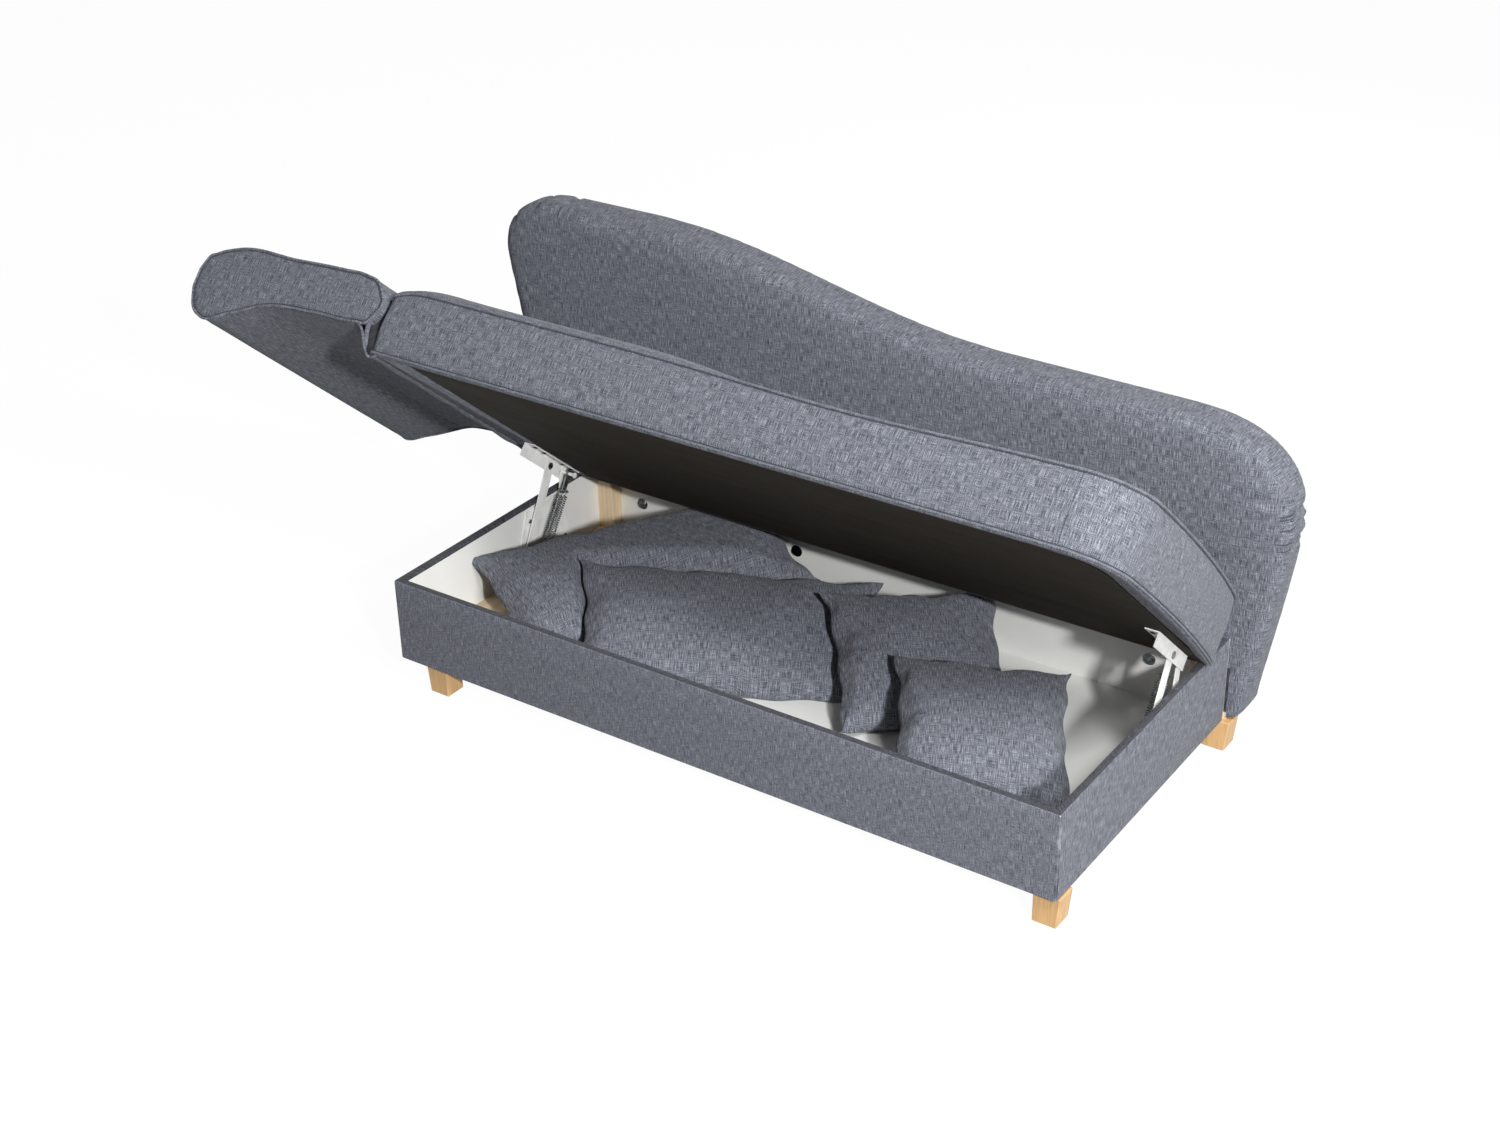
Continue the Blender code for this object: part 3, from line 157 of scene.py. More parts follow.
# Slack fabric in the crease: its outer line and its inner line, (x, w) from the headrest to the seat, how far
# in its ends lie next to the seat and on the inner line, the x from where they do, its waves along the depth
# as (height, angle over the depth, start), the fold at each end as (x, w), and the x of its blend's ends
CREASE_OUTER = ((-0.118, 0.062), (-0.100, 0.054), (-0.084, 0.044), (-0.068, 0.022), (-0.054, 0.003),
                (-0.042, -0.006), (-0.028, -0.002))
CREASE_INNER = ((-0.118, 0.090), (-0.100, 0.106), (-0.084, 0.116), (-0.068, 0.121), (-0.056, 0.121),
                (-0.042, 0.116), (-0.028, 0.110))
CREASE_RECESS = 0.034
CREASE_HOLLOW = 0.022
CREASE_RECESS_FROM = -0.064
CREASE_WAVES = ((0.0035, 35.0, 0.0), (0.0025, 54.0, 1.3))
CREASE_FOLD = ((-0.080, 0.092), (-0.079, 0.066), (-0.074, 0.040), (-0.059, 0.008))

# Backrest outline
BACK_STEP = 0.008
BACK_TALL = 0.839
BACK_LOW = 0.711
BACK_RIGHT_TOP = 0.704
BACK_LEFT_REACH = 0.268
BACK_RIGHT_REACH = 0.099
BACK_LEFT_WIDEST = 0.705
BACK_RIGHT_WIDEST = 0.505
BACK_LEFT_TAPER = 0.170
BACK_RIGHT_TAPER = 0.062
BACK_LEFT_CORNER = 0.165
BACK_RIGHT_CORNER = 0.259
BACK_FOOT_CORNER = (0.034, 0.030)
BACK_WAVE_START = 0.122
BACK_WAVE_END = 0.545
BACK_RIM = 0.034
BACK_PIPING = 0.0026
BACK_MEETS_SEAT = 0.430
BACK_CROWN_REACH = 0.16
PLEATS = ((1.663, 0.552), (1.662, 0.536), (1.661, 0.519), (1.660, 0.487), (1.656, 0.470),
          (-0.243, 0.802), (-0.173, 0.834), (-0.100, 0.842))
PLEAT_WIDTH = 0.0065
PLEAT_REACH = 0.030
PLEAT_DEPTH = 0.007
# Radius of the dark lines of painted shade down the pleats
PLEAT_SHADE_RADIUS = 0.0016

# Loose cushions: width, depth, thickness, centre x and y from the box's inner faces, height over the floor
# board, turn about Z, forward lean and sideways lean in degrees; each lies on the ones before it
CUSHIONS = {
    "cushion_large_left": (0.700, 0.360, 0.165, 0.322, 0.404, 0.1020, 55.5, 12.0, -3.5),
    "cushion_large_middle": (0.660, 0.370, 0.150, 0.590, 0.333, 0.0700, 33.0, 16.0, 6.5),
    "cushion_small_middle": (0.375, 0.375, 0.130, 0.986, 0.447, 0.0760, 38.5, 20.0, 4.0),
    "cushion_small_right": (0.360, 0.370, 0.135, 1.232, 0.268, 0.0860, 29.0, 14.0, 6.0),
}
CUSHION_DRAW = 0.07
CUSHION_DOME = 0.52
CUSHION_PRESS = 0.06
CUSHION_TOP = 0.004
CUSHION_ROOM = 0.025

# Lift fittings: the bar that the springs pull on as (y, z), the hook's bar in from its box, the springs'
# radii at their curls and end rings, the straight tail, and the places of screws along the seat's brackets
# and on the plates as (y, z)
SPRING_ANCHOR = (-0.004, 0.106)
HOOK_BAR_IN = 0.006
SPRING_RADIUS = 0.0062
SPRING_RING = 0.0042
SPRING_TAIL = 0.008
BRACKET_SCREWS = (0.072, 0.105, 0.185, 0.222)
PLATE_SCREWS = ((0.010, 0.215), (0.095, 0.222), (0.128, 0.128), (0.000, 0.150))
STEEL_SHEET = 0.0028

# Finishes of the backrest bolts 1 to 4
BOLT_FINISHES = ("zinc", "black_steel", "black_steel", "zinc")

# Turned forms: (distance along the axis, radius)
WASHER = ((-0.0004, 0.0095), (-0.0004, 0.0135), (0.0010, 0.0140), (0.0016, 0.0132), (0.0016, 0.0095))
SOCKET = ((0.0052, 0.0060), (0.0064, 0.0058), (0.0072, 0.0045), (0.0072, 0.0026), (0.0060, 0.0024))
RIVET = ((-0.0010, 0.0026), (0.0002, 0.0026), (0.0007, 0.0020), (0.0007, 0.0010))
SCREW_HEAD = ((0.0, 0.0052), (0.0008, 0.0050), (0.0019, 0.0036), (0.0023, 0.0014), (0.0016, 0.0012))

# Photograph's camera: eye, its right and forward directions, and its lens on a 36 mm wide picture
CAMERA_EYE = (2.3958, -3.3062, 2.4989)
CAMERA_RIGHT = (0.82390, 0.56645, -0.01803)
CAMERA_FORWARD = (-0.50435, 0.71832, -0.47921)
CAMERA_LENS = 53.195
CAMERA_SENSOR = 36.0

# Lamps: place, side and power, all aimed at one point
LAMPS = {
    "key_light": ((5.4, -4.1, 3.70), 0.40, 490.0),
    "side_light": ((2.6, -1.2, 3.0), 0.8, 112.0),
    "fill_light": ((-2.6, -2.6, 2.4), 2.5, 8.0),
    "back_light": ((0.4, 3.8, 2.2), 2.5, 50.0),
}
LAMP_AIM = (0.1, 0.0, 0.35)


def linear(code):
    """An sRGB hex colour as linear red, green and blue."""
    parts = np.array([int(code[place:place + 2], 16) for place in (1, 3, 5)]) / 255.0
    return tuple(np.where(parts <= 0.04045, parts / 12.92, ((parts + 0.055) / 1.055) ** 2.4))


# Sizes and colours that a user would change


class RecamierSizes(bpy.types.PropertyGroup):
    """Sizes of the upholstery that aren't fixed by the frame."""

    seat_crown: bpy.props.FloatProperty(
        name="Seat crown", description="Rise of the seat's right part over its edges",
        default=0.008, unit="LENGTH")
    seat_crown_more: bpy.props.FloatProperty(
        name="Fuller crown", description="Further rise of the seat's part next to the headrest",
        default=0.017, unit="LENGTH")
    seat_draw: bpy.props.FloatProperty(
        name="Side bulge", description="How far the seat's sides stand out between their seams",
        default=0.004, unit="LENGTH")
    back_round: bpy.props.FloatProperty(
        name="Backrest edge", description="Radius of the backrest's rounded edge",
        default=0.028, unit="LENGTH")
    back_crown: bpy.props.FloatProperty(
        name="Backrest crown", description="Rise of the backrest's front over its edges",
        default=0.004, unit="LENGTH")
    piping: bpy.props.FloatProperty(
        name="Piping radius", description="Radius of the sewn piping", default=0.0027, unit="LENGTH")
    voxel: bpy.props.FloatProperty(
        name="Pad mesh", description="Size of the faces of the large pads", default=0.009, unit="LENGTH")
    spring_wire: bpy.props.FloatProperty(
        name="Spring wire", description="Radius of the springs' wire", default=0.0011, unit="LENGTH")
    spring_curls: bpy.props.IntProperty(
        name="Spring curls", description="Curls of each spring", default=34)


class RecamierColours(bpy.types.PropertyGroup):
    """Main colours of the finishes."""

    fabric: bpy.props.FloatVectorProperty(
        name="Fabric", description="Middle tone of the woven cover", subtype="COLOR",
        default=linear("#60636C"))
    fabric_dark: bpy.props.FloatVectorProperty(
        name="Fabric dark yarn", description="Dark yarn of the heather", subtype="COLOR",
        default=linear("#383B43"))
    fabric_light: bpy.props.FloatVectorProperty(
        name="Fabric light yarn", description="Light yarn of the heather", subtype="COLOR",
        default=linear("#92959E"))
    melamine: bpy.props.FloatVectorProperty(
        name="Box lining", description="White faced board", subtype="COLOR", default=linear("#E6E6E3"))
    beech: bpy.props.FloatVectorProperty(
        name="Feet", description="Lacquered beech", subtype="COLOR", default=linear("#CFA672"))
    board: bpy.props.FloatVectorProperty(
        name="Seat underside", description="Dark fibreboard", subtype="COLOR", default=linear("#302C26"))


def sizes():
    """The sizes set in the scene."""
    return bpy.context.scene.recamier_sizes


def colours():
    """The colours set in the scene."""
    return bpy.context.scene.recamier_colours


# Materials


def set_inputs(tree, node, links):
    """Give each named input a value or another node's output."""
    for name, source in links.items():
        if isinstance(source, bpy.types.NodeSocket):
            tree.links.new(source, node.inputs[name])
        else:
            node.inputs[name].default_value = source


def add_node(tree, kind, links, **settings):
    """Add one node: settings are its own values, links are for its inputs."""
    node = tree.nodes.new(kind)
    for name, value in settings.items():
        setattr(node, name, value)
    set_inputs(tree, node, links)
    return node


def start_material(name):
    """A new material, its node tree and its Principled shader."""
    material = bpy.data.materials.new(name)
    material.use_nodes = True
    return material, material.node_tree, material.node_tree.nodes["Principled BSDF"]


def own_place(tree):
    """The place on the piece in its own coordinates, in metres."""
    return add_node(tree, "ShaderNodeTexCoord", {}).outputs["Object"]


def stretched(tree, place, lengths):
    """A place over a length along each axis, so that a pattern of size 1 gets these lengths."""
    scale = tuple(1.0 / np.array(lengths))
    return add_node(tree, "ShaderNodeMapping", {"Vector": place, "Scale": scale}).outputs[0]


def noise(tree, place, size, detail, dimensions="3D"):
    """Noise of blobs about size across: a value round 0.5."""
    links = {"Vector": place, "Scale": 1.0 / size, "Detail": detail}
    return add_node(tree, "ShaderNodeTexNoise", links, noise_dimensions=dimensions).outputs["Fac"]


def added(tree, base, value, share=1.0):
    """base plus a share of value."""
    links = {0: value, 1: share, 2: base}
    return add_node(tree, "ShaderNodeMath", links, operation="MULTIPLY_ADD").outputs[0]


def tone(tree, value, stops):
    """Colour of a ramp over a value: stops are (place, linear colour) from low to high."""
    node = add_node(tree, "ShaderNodeValToRGB", {"Fac": value})
    ramp = node.color_ramp
    while len(ramp.elements) < len(stops):
        ramp.elements.new(0.5)
    for element, (place, colour) in zip(ramp.elements, stops):
        element.position = place
        element.color = (*colour, 1.0)
    return node.outputs["Color"]


def gloss(tree, value, low, high):
    """Roughness from low to high as a value goes from 0 to 1."""
    links = {"Value": value, "To Min": low, "To Max": high}
    return add_node(tree, "ShaderNodeMapRange", links).outputs["Result"]


def bumped(tree, height, strength, distance):
    """Normals of a fine relief; distance is its depth in metres."""
    links = {"Height": height, "Strength": strength, "Distance": distance}
    return add_node(tree, "ShaderNodeBump", links).outputs["Normal"]


def wave_scale(period):
    """Scale of a Wave texture in bands for a period in metres: its own period at scale 1 is 2 pi / 20."""
    return 2.0 * math.pi / 20.0 / period


def woven_fabric(name, depth):
    """Heathered plain weave of polyester yarn: matt, with thin light and dark slubs along both threads.

    Real threads lie about 1 mm apart and show in the picture only as grain, so slubs are drawn 1.0 mm wide
    and 22 mm long, and the weave's relief at 2.0 mm. The weave map on each piece is in metres along the
    threads. depth scales the yarn's colours: below 1 it makes a darker copy of the cloth that paints shade.
    """
    material, tree, shader = start_material(name)
    slub_wide = 0.0010
    slub_long = 0.022
    thread_apart = 0.0020
    weave = add_node(tree, "ShaderNodeUVMap", {}, uv_map="weave").outputs["UV"]
    upright = noise(tree, stretched(tree, weave, (slub_wide, slub_long, 1.0)), 1.0, 1.0, "2D")
    level = noise(tree, stretched(tree, weave, (slub_long, slub_wide, 1.0)), 1.0, 1.0, "2D")
    grain = noise(tree, weave, thread_apart, 0.0, "2D")
    heather = added(tree, added(tree, upright, level, 0.6), grain, 0.25)
    spread = add_node(tree, "ShaderNodeMapRange", {"Value": heather, "From Min": 0.60, "From Max": 1.25})
    shades = colours()
    yarns = ((0.05, shades.fabric_dark), (0.50, shades.fabric), (0.95, shades.fabric_light))
    stops = [(place, np.array(shade) * depth) for place, shade in yarns]
    height = heather
    for direction in ("X", "Y"):
        links = {"Vector": weave, "Scale": wave_scale(thread_apart), "Distortion": 1.5, "Detail": 1.0}
        threads = add_node(tree, "ShaderNodeTexWave", links, bands_direction=direction)
        height = added(tree, height, threads.outputs["Fac"])
    set_inputs(tree, shader, {
        "Base Color": tone(tree, spread.outputs["Result"], stops),
        "Normal": bumped(tree, height, 0.30, 0.0006),
        "Roughness": 0.94, "Specular IOR Level": 0.15, "Sheen Weight": 0.08, "Sheen Roughness": 0.50})
    return material


def seam_thread_and_pleat_shade():
    """Dark twisted sewing thread sunk in a seam, and painted shade down the backrest's pleats: matt, nearly
    black blue, mottled every 3 mm by its twist.
    """
    material, tree, shader = start_material("dark_seam_thread")
    twist = noise(tree, own_place(tree), 0.003, 1.0)
    stops = ((0.30, linear("#30343D")), (0.70, linear("#4C505A")))
    set_inputs(tree, shader, {"Base Color": tone(tree, twist, stops), "Roughness": 0.95})
    return material


def faced_board():
    """White melamine faced chipboard: smooth, half matt, with a faint pearl texture 2 mm apart."""
    material, tree, shader = start_material("white_melamine_board")
    place = own_place(tree)
    white = np.array(colours().melamine)
    cloud = noise(tree, place, 0.20, 3.0)
    pearl = noise(tree, place, 0.002, 2.0)
    set_inputs(tree, shader, {
        "Base Color": tone(tree, cloud, ((0.30, white * 0.94), (0.70, white))),
        "Roughness": gloss(tree, pearl, 0.34, 0.48),
        "Normal": bumped(tree, pearl, 0.06, 0.0004)})
    return material


def sawn_wood(name, pale, dark, grain_along, ring_width, roughness):
    """Planed wood: growth rings stretched along the grain, fine pores, and gloss that follows the rings.

    The grain runs along one axis, where the pattern is drawn 25 times longer than across it.
    """
    material, tree, shader = start_material(name)
    place = own_place(tree)
    lengths = np.full(3, ring_width)
    lengths[grain_along] *= 25.0
    links = {"Vector": stretched(tree, place, lengths), "Scale": 1.0, "Detail": 3.0, "Roughness": 0.55,
             "Distortion": 0.6}
    rings = add_node(tree, "ShaderNodeTexNoise", links).outputs["Fac"]
    pores = noise(tree, stretched(tree, place, lengths / 6.0), 1.0, 1.0)
    mixed = added(tree, rings, pores, 0.35)
    between = np.array(pale) * 0.5 + np.array(dark) * 0.5
    set_inputs(tree, shader, {
        "Base Color": tone(tree, mixed, ((0.48, dark), (0.66, between), (0.86, pale))),
        "Roughness": gloss(tree, rings, roughness, roughness + 0.15),
        "Normal": bumped(tree, mixed, 0.12, 0.0005)})
    return material


def pressed_board():
    """Dark hard fibreboard: felted, faintly streaked along the seat, rubbed to a soft sheen in patches."""
    material, tree, shader = start_material("dark_fibreboard")
    place = own_place(tree)
    dark = np.array(colours().board)
    streak = noise(tree, stretched(tree, place, (0.30, 0.02, 0.02)), 1.0, 4.0)
    rub = noise(tree, place, 0.15, 4.0)
    felt = noise(tree, place, 0.0025, 2.0)
    set_inputs(tree, shader, {
        "Base Color": tone(tree, streak, ((0.25, dark * 0.75), (0.75, dark * 1.20))),
        "Roughness": gloss(tree, rub, 0.75, 0.95),
        "Specular IOR Level": 0.08,
        "Normal": bumped(tree, felt, 0.15, 0.0004)})
    return material


def coated_steel():
    """White powder coated steel: half gloss with a fine orange peel 1.5 mm apart."""
    material, tree, shader = start_material("white_powder_coat")
    place = own_place(tree)
    grime = noise(tree, place, 0.03, 3.0)
    peel = noise(tree, place, 0.0015, 2.0)
    set_inputs(tree, shader, {
        "Base Color": tone(tree, grime, ((0.25, linear("#DADAD7")), (0.60, linear("#EFEFED")))),
        "Roughness": 0.38,
        "Normal": bumped(tree, peel, 0.10, 0.0003)})
    return material


def plated_steel(name, dull, bright, roughness):
    """Plated steel: metal with cloudy plating 4 mm across that shifts its tone and gloss."""
    material, tree, shader = start_material(name)
    cloud = noise(tree, own_place(tree), 0.004, 3.0)
    set_inputs(tree, shader, {
        "Base Color": tone(tree, cloud, ((0.30, linear(dull)), (0.70, linear(bright)))),
        "Roughness": gloss(tree, cloud, roughness - 0.08, roughness + 0.10),
        "Metallic": 1.0})
    return material


FINISHES = {}


def make_finishes():
    """Make each finish once, under a short name."""
    beech = np.array(colours().beech)
    pine = (linear("#E3CFB0"), linear("#CBB08A"))
    birch = (linear("#D9C19A"), linear("#B8925F"))
    FINISHES["fabric"] = woven_fabric("woven_slate_fabric", 1.0)
    # A darker copy of the fabric, at 0.42 of its colours: painted shade for the crease's ends and the box's
    # rim.
    FINISHES["fabric_turned"] = woven_fabric("woven_slate_turned_edge", 0.42)
    FINISHES["thread"] = seam_thread_and_pleat_shade()
    FINISHES["melamine"] = faced_board()
    FINISHES["beech"] = sawn_wood("lacquered_beech", beech * 1.05, beech * 0.78, 2, 0.006, 0.36)
    FINISHES["pine_upright"] = sawn_wood("planed_pine_upright", *pine, 2, 0.009, 0.55)
    FINISHES["pine_across"] = sawn_wood("planed_pine_across", *pine, 1, 0.009, 0.55)
    FINISHES["plywood"] = sawn_wood("birch_plywood", *birch, 0, 0.008, 0.60)
    FINISHES["board"] = pressed_board()
    FINISHES["white_steel"] = coated_steel()
    FINISHES["zinc"] = plated_steel("bright_zinc", "#6A6E72", "#A4A8AC", 0.30)
    FINISHES["spring_steel"] = plated_steel("zinc_spring_wire", "#54585C", "#A6AAAE", 0.32)
    FINISHES["black_steel"] = plated_steel("blackened_steel", "#17181A", "#2C2E31", 0.42)


# Shapes as arrays


def placed(frame_axes, points):
    """World places of a piece's own (a, b, c) numbers."""
    origin, axes = frame_axes
    return origin + points @ axes


def unit(vectors):
    """The same directions at length 1."""
    return vectors / np.linalg.norm(vectors, axis=-1, keepdims=True)


def eased(share):
    """Smooth step from 0 to 1: 3 s^2 - 2 s^3."""
    return share * share * (3.0 - 2.0 * share)


def run_along(line):
    """Distance of each point of a line from its start, along it."""
    return np.concatenate([[0.0], np.cumsum(np.linalg.norm(np.diff(line, axis=0), axis=1))])


def directions(outline):
    """Unit directions along a closed line, from the point before to the point after."""
    return unit(np.roll(outline, -1, axis=0) - np.roll(outline, 1, axis=0))


def smooth_through(points, at):
    """A smooth curve through (x, value) points: cubic Hermite pieces with averaged slopes."""
    xs = np.array([point[0] for point in points])
    ys = np.array([point[1] for point in points])
    slopes = np.gradient(ys, xs)
    at = np.clip(at, xs[0], xs[-1])
    place = np.clip(np.searchsorted(xs, at) - 1, 0, len(xs) - 2)
    width = xs[place + 1] - xs[place]
    t = (at - xs[place]) / width
    near = t * (1.0 - t) ** 2 * width * slopes[place]
    far = -t * t * (1.0 - t) * width * slopes[place + 1]
    return ys[place] * (1.0 - eased(t)) + ys[place + 1] * eased(t) + near + far


def arc(centre, radii, first, last, count, power=2.0):
    """Points on part of a superellipse, angles in degrees."""
    angles = np.radians(np.linspace(first, last, count))
    across = np.cos(angles)
    up = np.sin(angles)
    across = np.sign(across) * np.abs(across) ** (2.0 / power)
    up = np.sign(up) * np.abs(up) ** (2.0 / power)
    return np.column_stack([centre[0] + radii[0] * across, centre[1] + radii[1] * up])


def evenly(points, spacing, closed=True):
    """The same line with points evenly apart: places along its length, read off by straight pieces."""
    line = np.vstack([points, points[:1]]) if closed else points
    run = run_along(line)
    count = max(int(round(run[-1] / spacing)), 3)
    at = np.linspace(0.0, run[-1], count + 1)
    even = np.column_stack([np.interp(at, run, line[:, axis]) for axis in range(line.shape[1])])
    return even[:-1] if closed else even


def outward(outline):
    """Unit normals of a closed anticlockwise outline, to its outside."""
    ahead = directions(outline)
    return np.column_stack([ahead[:, 1], -ahead[:, 0]])


def grid_faces(rows, columns, close_rows=False, close_columns=False):
    """Quads of a grid of points stored row by row; a closed direction joins its last line to its first."""
    row = np.arange(rows if close_rows else rows - 1)[:, None]
    column = np.arange(columns if close_columns else columns - 1)[None, :]
    next_row = (row + 1) % rows
    next_column = (column + 1) % columns
    corners = [row * columns + column, row * columns + next_column,
               next_row * columns + next_column, next_row * columns + column]
    return np.stack(corners, axis=-1).reshape(-1, 4)


def with_ends(faces, ring, total):
    """Faces of rings of points, with one flat face over the first ring and one over the last."""
    return faces.tolist() + [list(range(ring))[::-1], list(range(total - ring, total))]


def weave_pairs(along, across):
    """Weave map of a grid from its distances along and across, one of them a row and the other a column."""
    return np.stack(np.broadcast_arrays(along, across), axis=-1).reshape(-1, 2)


def lifted(rows, section):
    """Points of flat outlines, row by row, each row at its section's height."""
    heights = np.broadcast_to(section[:, 1][:, None, None], (*rows.shape[:2], 1))
    return np.concatenate([rows, heights], axis=2).reshape(-1, 3)


def inset_rows(outline, section, weight=1.0):
    """Points of an outline moved in along its normals, one row for each (inset, height) of a section.

    weight scales the inset, as one number or one for each outline point.
    """
    normal = outward(outline) * np.broadcast_to(weight, len(outline))[:, None]
    return lifted(outline[None] - normal[None] * section[:, 0][:, None, None], section)


def carried(outline, section, weight=1.0):
    """An outline carried through a section of (inset, height), closed by a flat face at both ends."""
    points = inset_rows(outline, section, weight)
    faces = grid_faces(len(section), len(outline), close_columns=True)
    return points, with_ends(faces, len(outline), len(points))


def rounded_section(low, high, radius, draw, middle_rows=7):
    """Section between two heights: quarter circles at both ends, the side drawn in by a parabola."""
    turn = np.radians(np.linspace(0.0, 90.0, 5))
    bend = np.column_stack([draw + radius * (1.0 - np.sin(turn)), low + radius * (1.0 - np.cos(turn))])
    heights = np.linspace(low + radius, high - radius, middle_rows)[1:-1]
    middle = (low + high) / 2.0
    share = (heights - middle) / ((high - low) / 2.0 - radius)
    side = np.column_stack([draw * share ** 2, heights])
    top = np.column_stack([bend[::-1, 0], low + high - bend[::-1, 1]])
    return np.vstack([bend, side, top])


def read_mesh(mesh):
    """A mesh's points and its quads as arrays."""
    points = np.empty(len(mesh.vertices) * 3)
    mesh.vertices.foreach_get("co", points)
    corners = np.empty(len(mesh.loops), dtype=np.int64)
    mesh.loops.foreach_get("vertex_index", corners)
    return points.reshape(-1, 3), corners.reshape(-1, 4)


def remeshed(points, faces, voxel):
    """The same closed form in even quads: Blender's voxel remesh, in the piece's own axes."""
    mesh = bpy.data.meshes.new("scratch")
    mesh.from_pydata(points.tolist(), [], faces)
    scratch = bpy.data.objects.new("scratch", mesh)
    bpy.context.scene.collection.objects.link(scratch)
    remesh = scratch.modifiers.new("remesh", "REMESH")
    remesh.mode = "VOXEL"
    remesh.voxel_size = voxel
    bpy.context.view_layer.update()
    result = bpy.data.meshes.new_from_object(scratch.evaluated_get(bpy.context.evaluated_depsgraph_get()))
    even_points, even_faces = read_mesh(result)
    bpy.data.objects.remove(scratch)
    bpy.data.meshes.remove(mesh)
    bpy.data.meshes.remove(result)
    return even_points, even_faces


def face_directions(points, faces):
    """Unit normals of quads, from their diagonals."""
    normal = np.cross(points[faces[:, 2]] - points[faces[:, 0]], points[faces[:, 3]] - points[faces[:, 1]])
    return normal / np.maximum(np.linalg.norm(normal, axis=1, keepdims=True), 1e-12)


def nearest_on(outline, points, chunk=4096):
    """Foot of each point on a closed outline: nearest outline point, run along the outline, and distance."""
    places = []
    for first in range(0, len(points), chunk):
        apart = points[first:first + chunk, None, :] - outline[None]
        places.append((apart ** 2).sum(axis=2).argmin(axis=1))
    place = np.concatenate(places)
    apart = points - outline[place]
    ahead = (apart * directions(outline)[place]).sum(axis=1)
    gap = np.sqrt(np.maximum((apart ** 2).sum(axis=1) - ahead ** 2, 0.0))
    return place, run_along(outline)[place] + ahead, gap


def tube(path, radius, normal, closed=True, sides=10):
    """A round tube carried along a path: each ring turns about the path in the plane of the given normal.

    radius may be one number or one for each point. Returns the points, the faces and the weave map.
    """
    tangent = directions(path) if closed else unit(np.gradient(path, axis=0))
    side = unit(np.cross(tangent, normal))
    upright = np.cross(side, tangent)
    angle = np.linspace(0.0, 2.0 * np.pi, sides, endpoint=False)
    radius = np.broadcast_to(np.asarray(radius, dtype=float), len(path))[:, None, None]
    ring = np.cos(angle)[None, :, None] * side[:, None] + np.sin(angle)[None, :, None] * upright[:, None]
    points = (path[:, None] + radius * ring).reshape(-1, 3)
    faces = grid_faces(len(path), sides, close_rows=closed, close_columns=True)
    faces = faces.tolist() if closed else with_ends(faces, sides, len(points))
    weave = weave_pairs(run_along(path)[:, None], angle[None] * float(np.mean(radius)))
    return points, faces, weave


def turned(profile, centre, axis, sides=20):
    """A profile of (distance along the axis, radius) turned once about it."""
    axis = unit(np.array(axis, dtype=float))
    side = unit(np.cross(axis, [0.31, 0.57, 0.76]))
    upright = np.cross(axis, side)
    angle = np.linspace(0.0, 2.0 * np.pi, sides, endpoint=False)
    ring = np.cos(angle)[:, None] * side + np.sin(angle)[:, None] * upright
    profile = np.array(profile, dtype=float)
    points = np.array(centre) + profile[:, :1, None] * axis + profile[:, 1:, None] * ring[None]
    faces = grid_faces(len(profile), sides, close_columns=True)
    return points.reshape(-1, 3), with_ends(faces, sides, len(profile) * sides)


def joined(parts):
    """Several (points, faces, ...) forms as one, with their face numbers moved on."""
    points = []
    faces = []
    count = 0
    for part in parts:
        points.append(part[0])
        faces += [[corner + count for corner in face] for face in part[1]]
        count += len(part[0])
    return np.vstack(points), faces


# Pieces


def make_piece(name, points, faces, finish, slot, weave=None):
    """A smooth shaded object at the origin, with its finish and its weave map; the slot argument is not used.
    """
    mesh = bpy.data.meshes.new(name)
    faces = faces.tolist() if isinstance(faces, np.ndarray) else faces
    mesh.from_pydata(points.tolist(), [], faces)
    mesh.shade_smooth()
    mesh.materials.append(FINISHES[finish])
    piece = bpy.data.objects.new(name, mesh)
    bpy.context.scene.collection.objects.link(piece)
    if weave is not None:
        set_weave(piece, weave)
    return piece


def set_weave(piece, weave, other=None, use_other=None):
    """Write the weave map in metres, from one number pair a point; chosen faces take the other pair."""
    mesh = piece.data
    corners = np.empty(len(mesh.loops), dtype=np.int64)
    mesh.loops.foreach_get("vertex_index", corners)
    pairs = weave[corners]
    if other is not None:
        totals = np.empty(len(mesh.polygons), dtype=np.int64)
        mesh.polygons.foreach_get("loop_total", totals)
        pairs = np.where(np.repeat(use_other, totals)[:, None], other[corners], pairs)
    layer = mesh.uv_layers.new(name="weave")
    layer.data.foreach_set("uv", pairs.astype(np.float32).ravel())


def set_pad_weave(piece, points, faces, run):
    """Weave map of a pad: its flat faces seen from above, its sides by run round the outline and height."""
    facing = np.abs(face_directions(points, faces)[:, 2]) > FACE_ON
    set_weave(piece, np.column_stack([run, points[:, 2]]), points[:, :2], facing)


def make_joined(name, parts, finish, slot):
    """One piece out of several forms; fabric takes the forms' weave maps along."""
    weave = np.vstack([part[2] for part in parts]) if finish == "fabric" else None
    return make_piece(name, *joined(parts), finish, slot, weave)


def set_points(piece, points):
    """Move a piece's points."""
    piece.data.vertices.foreach_set("co", points.astype(np.float32).ravel())
    piece.data.update()


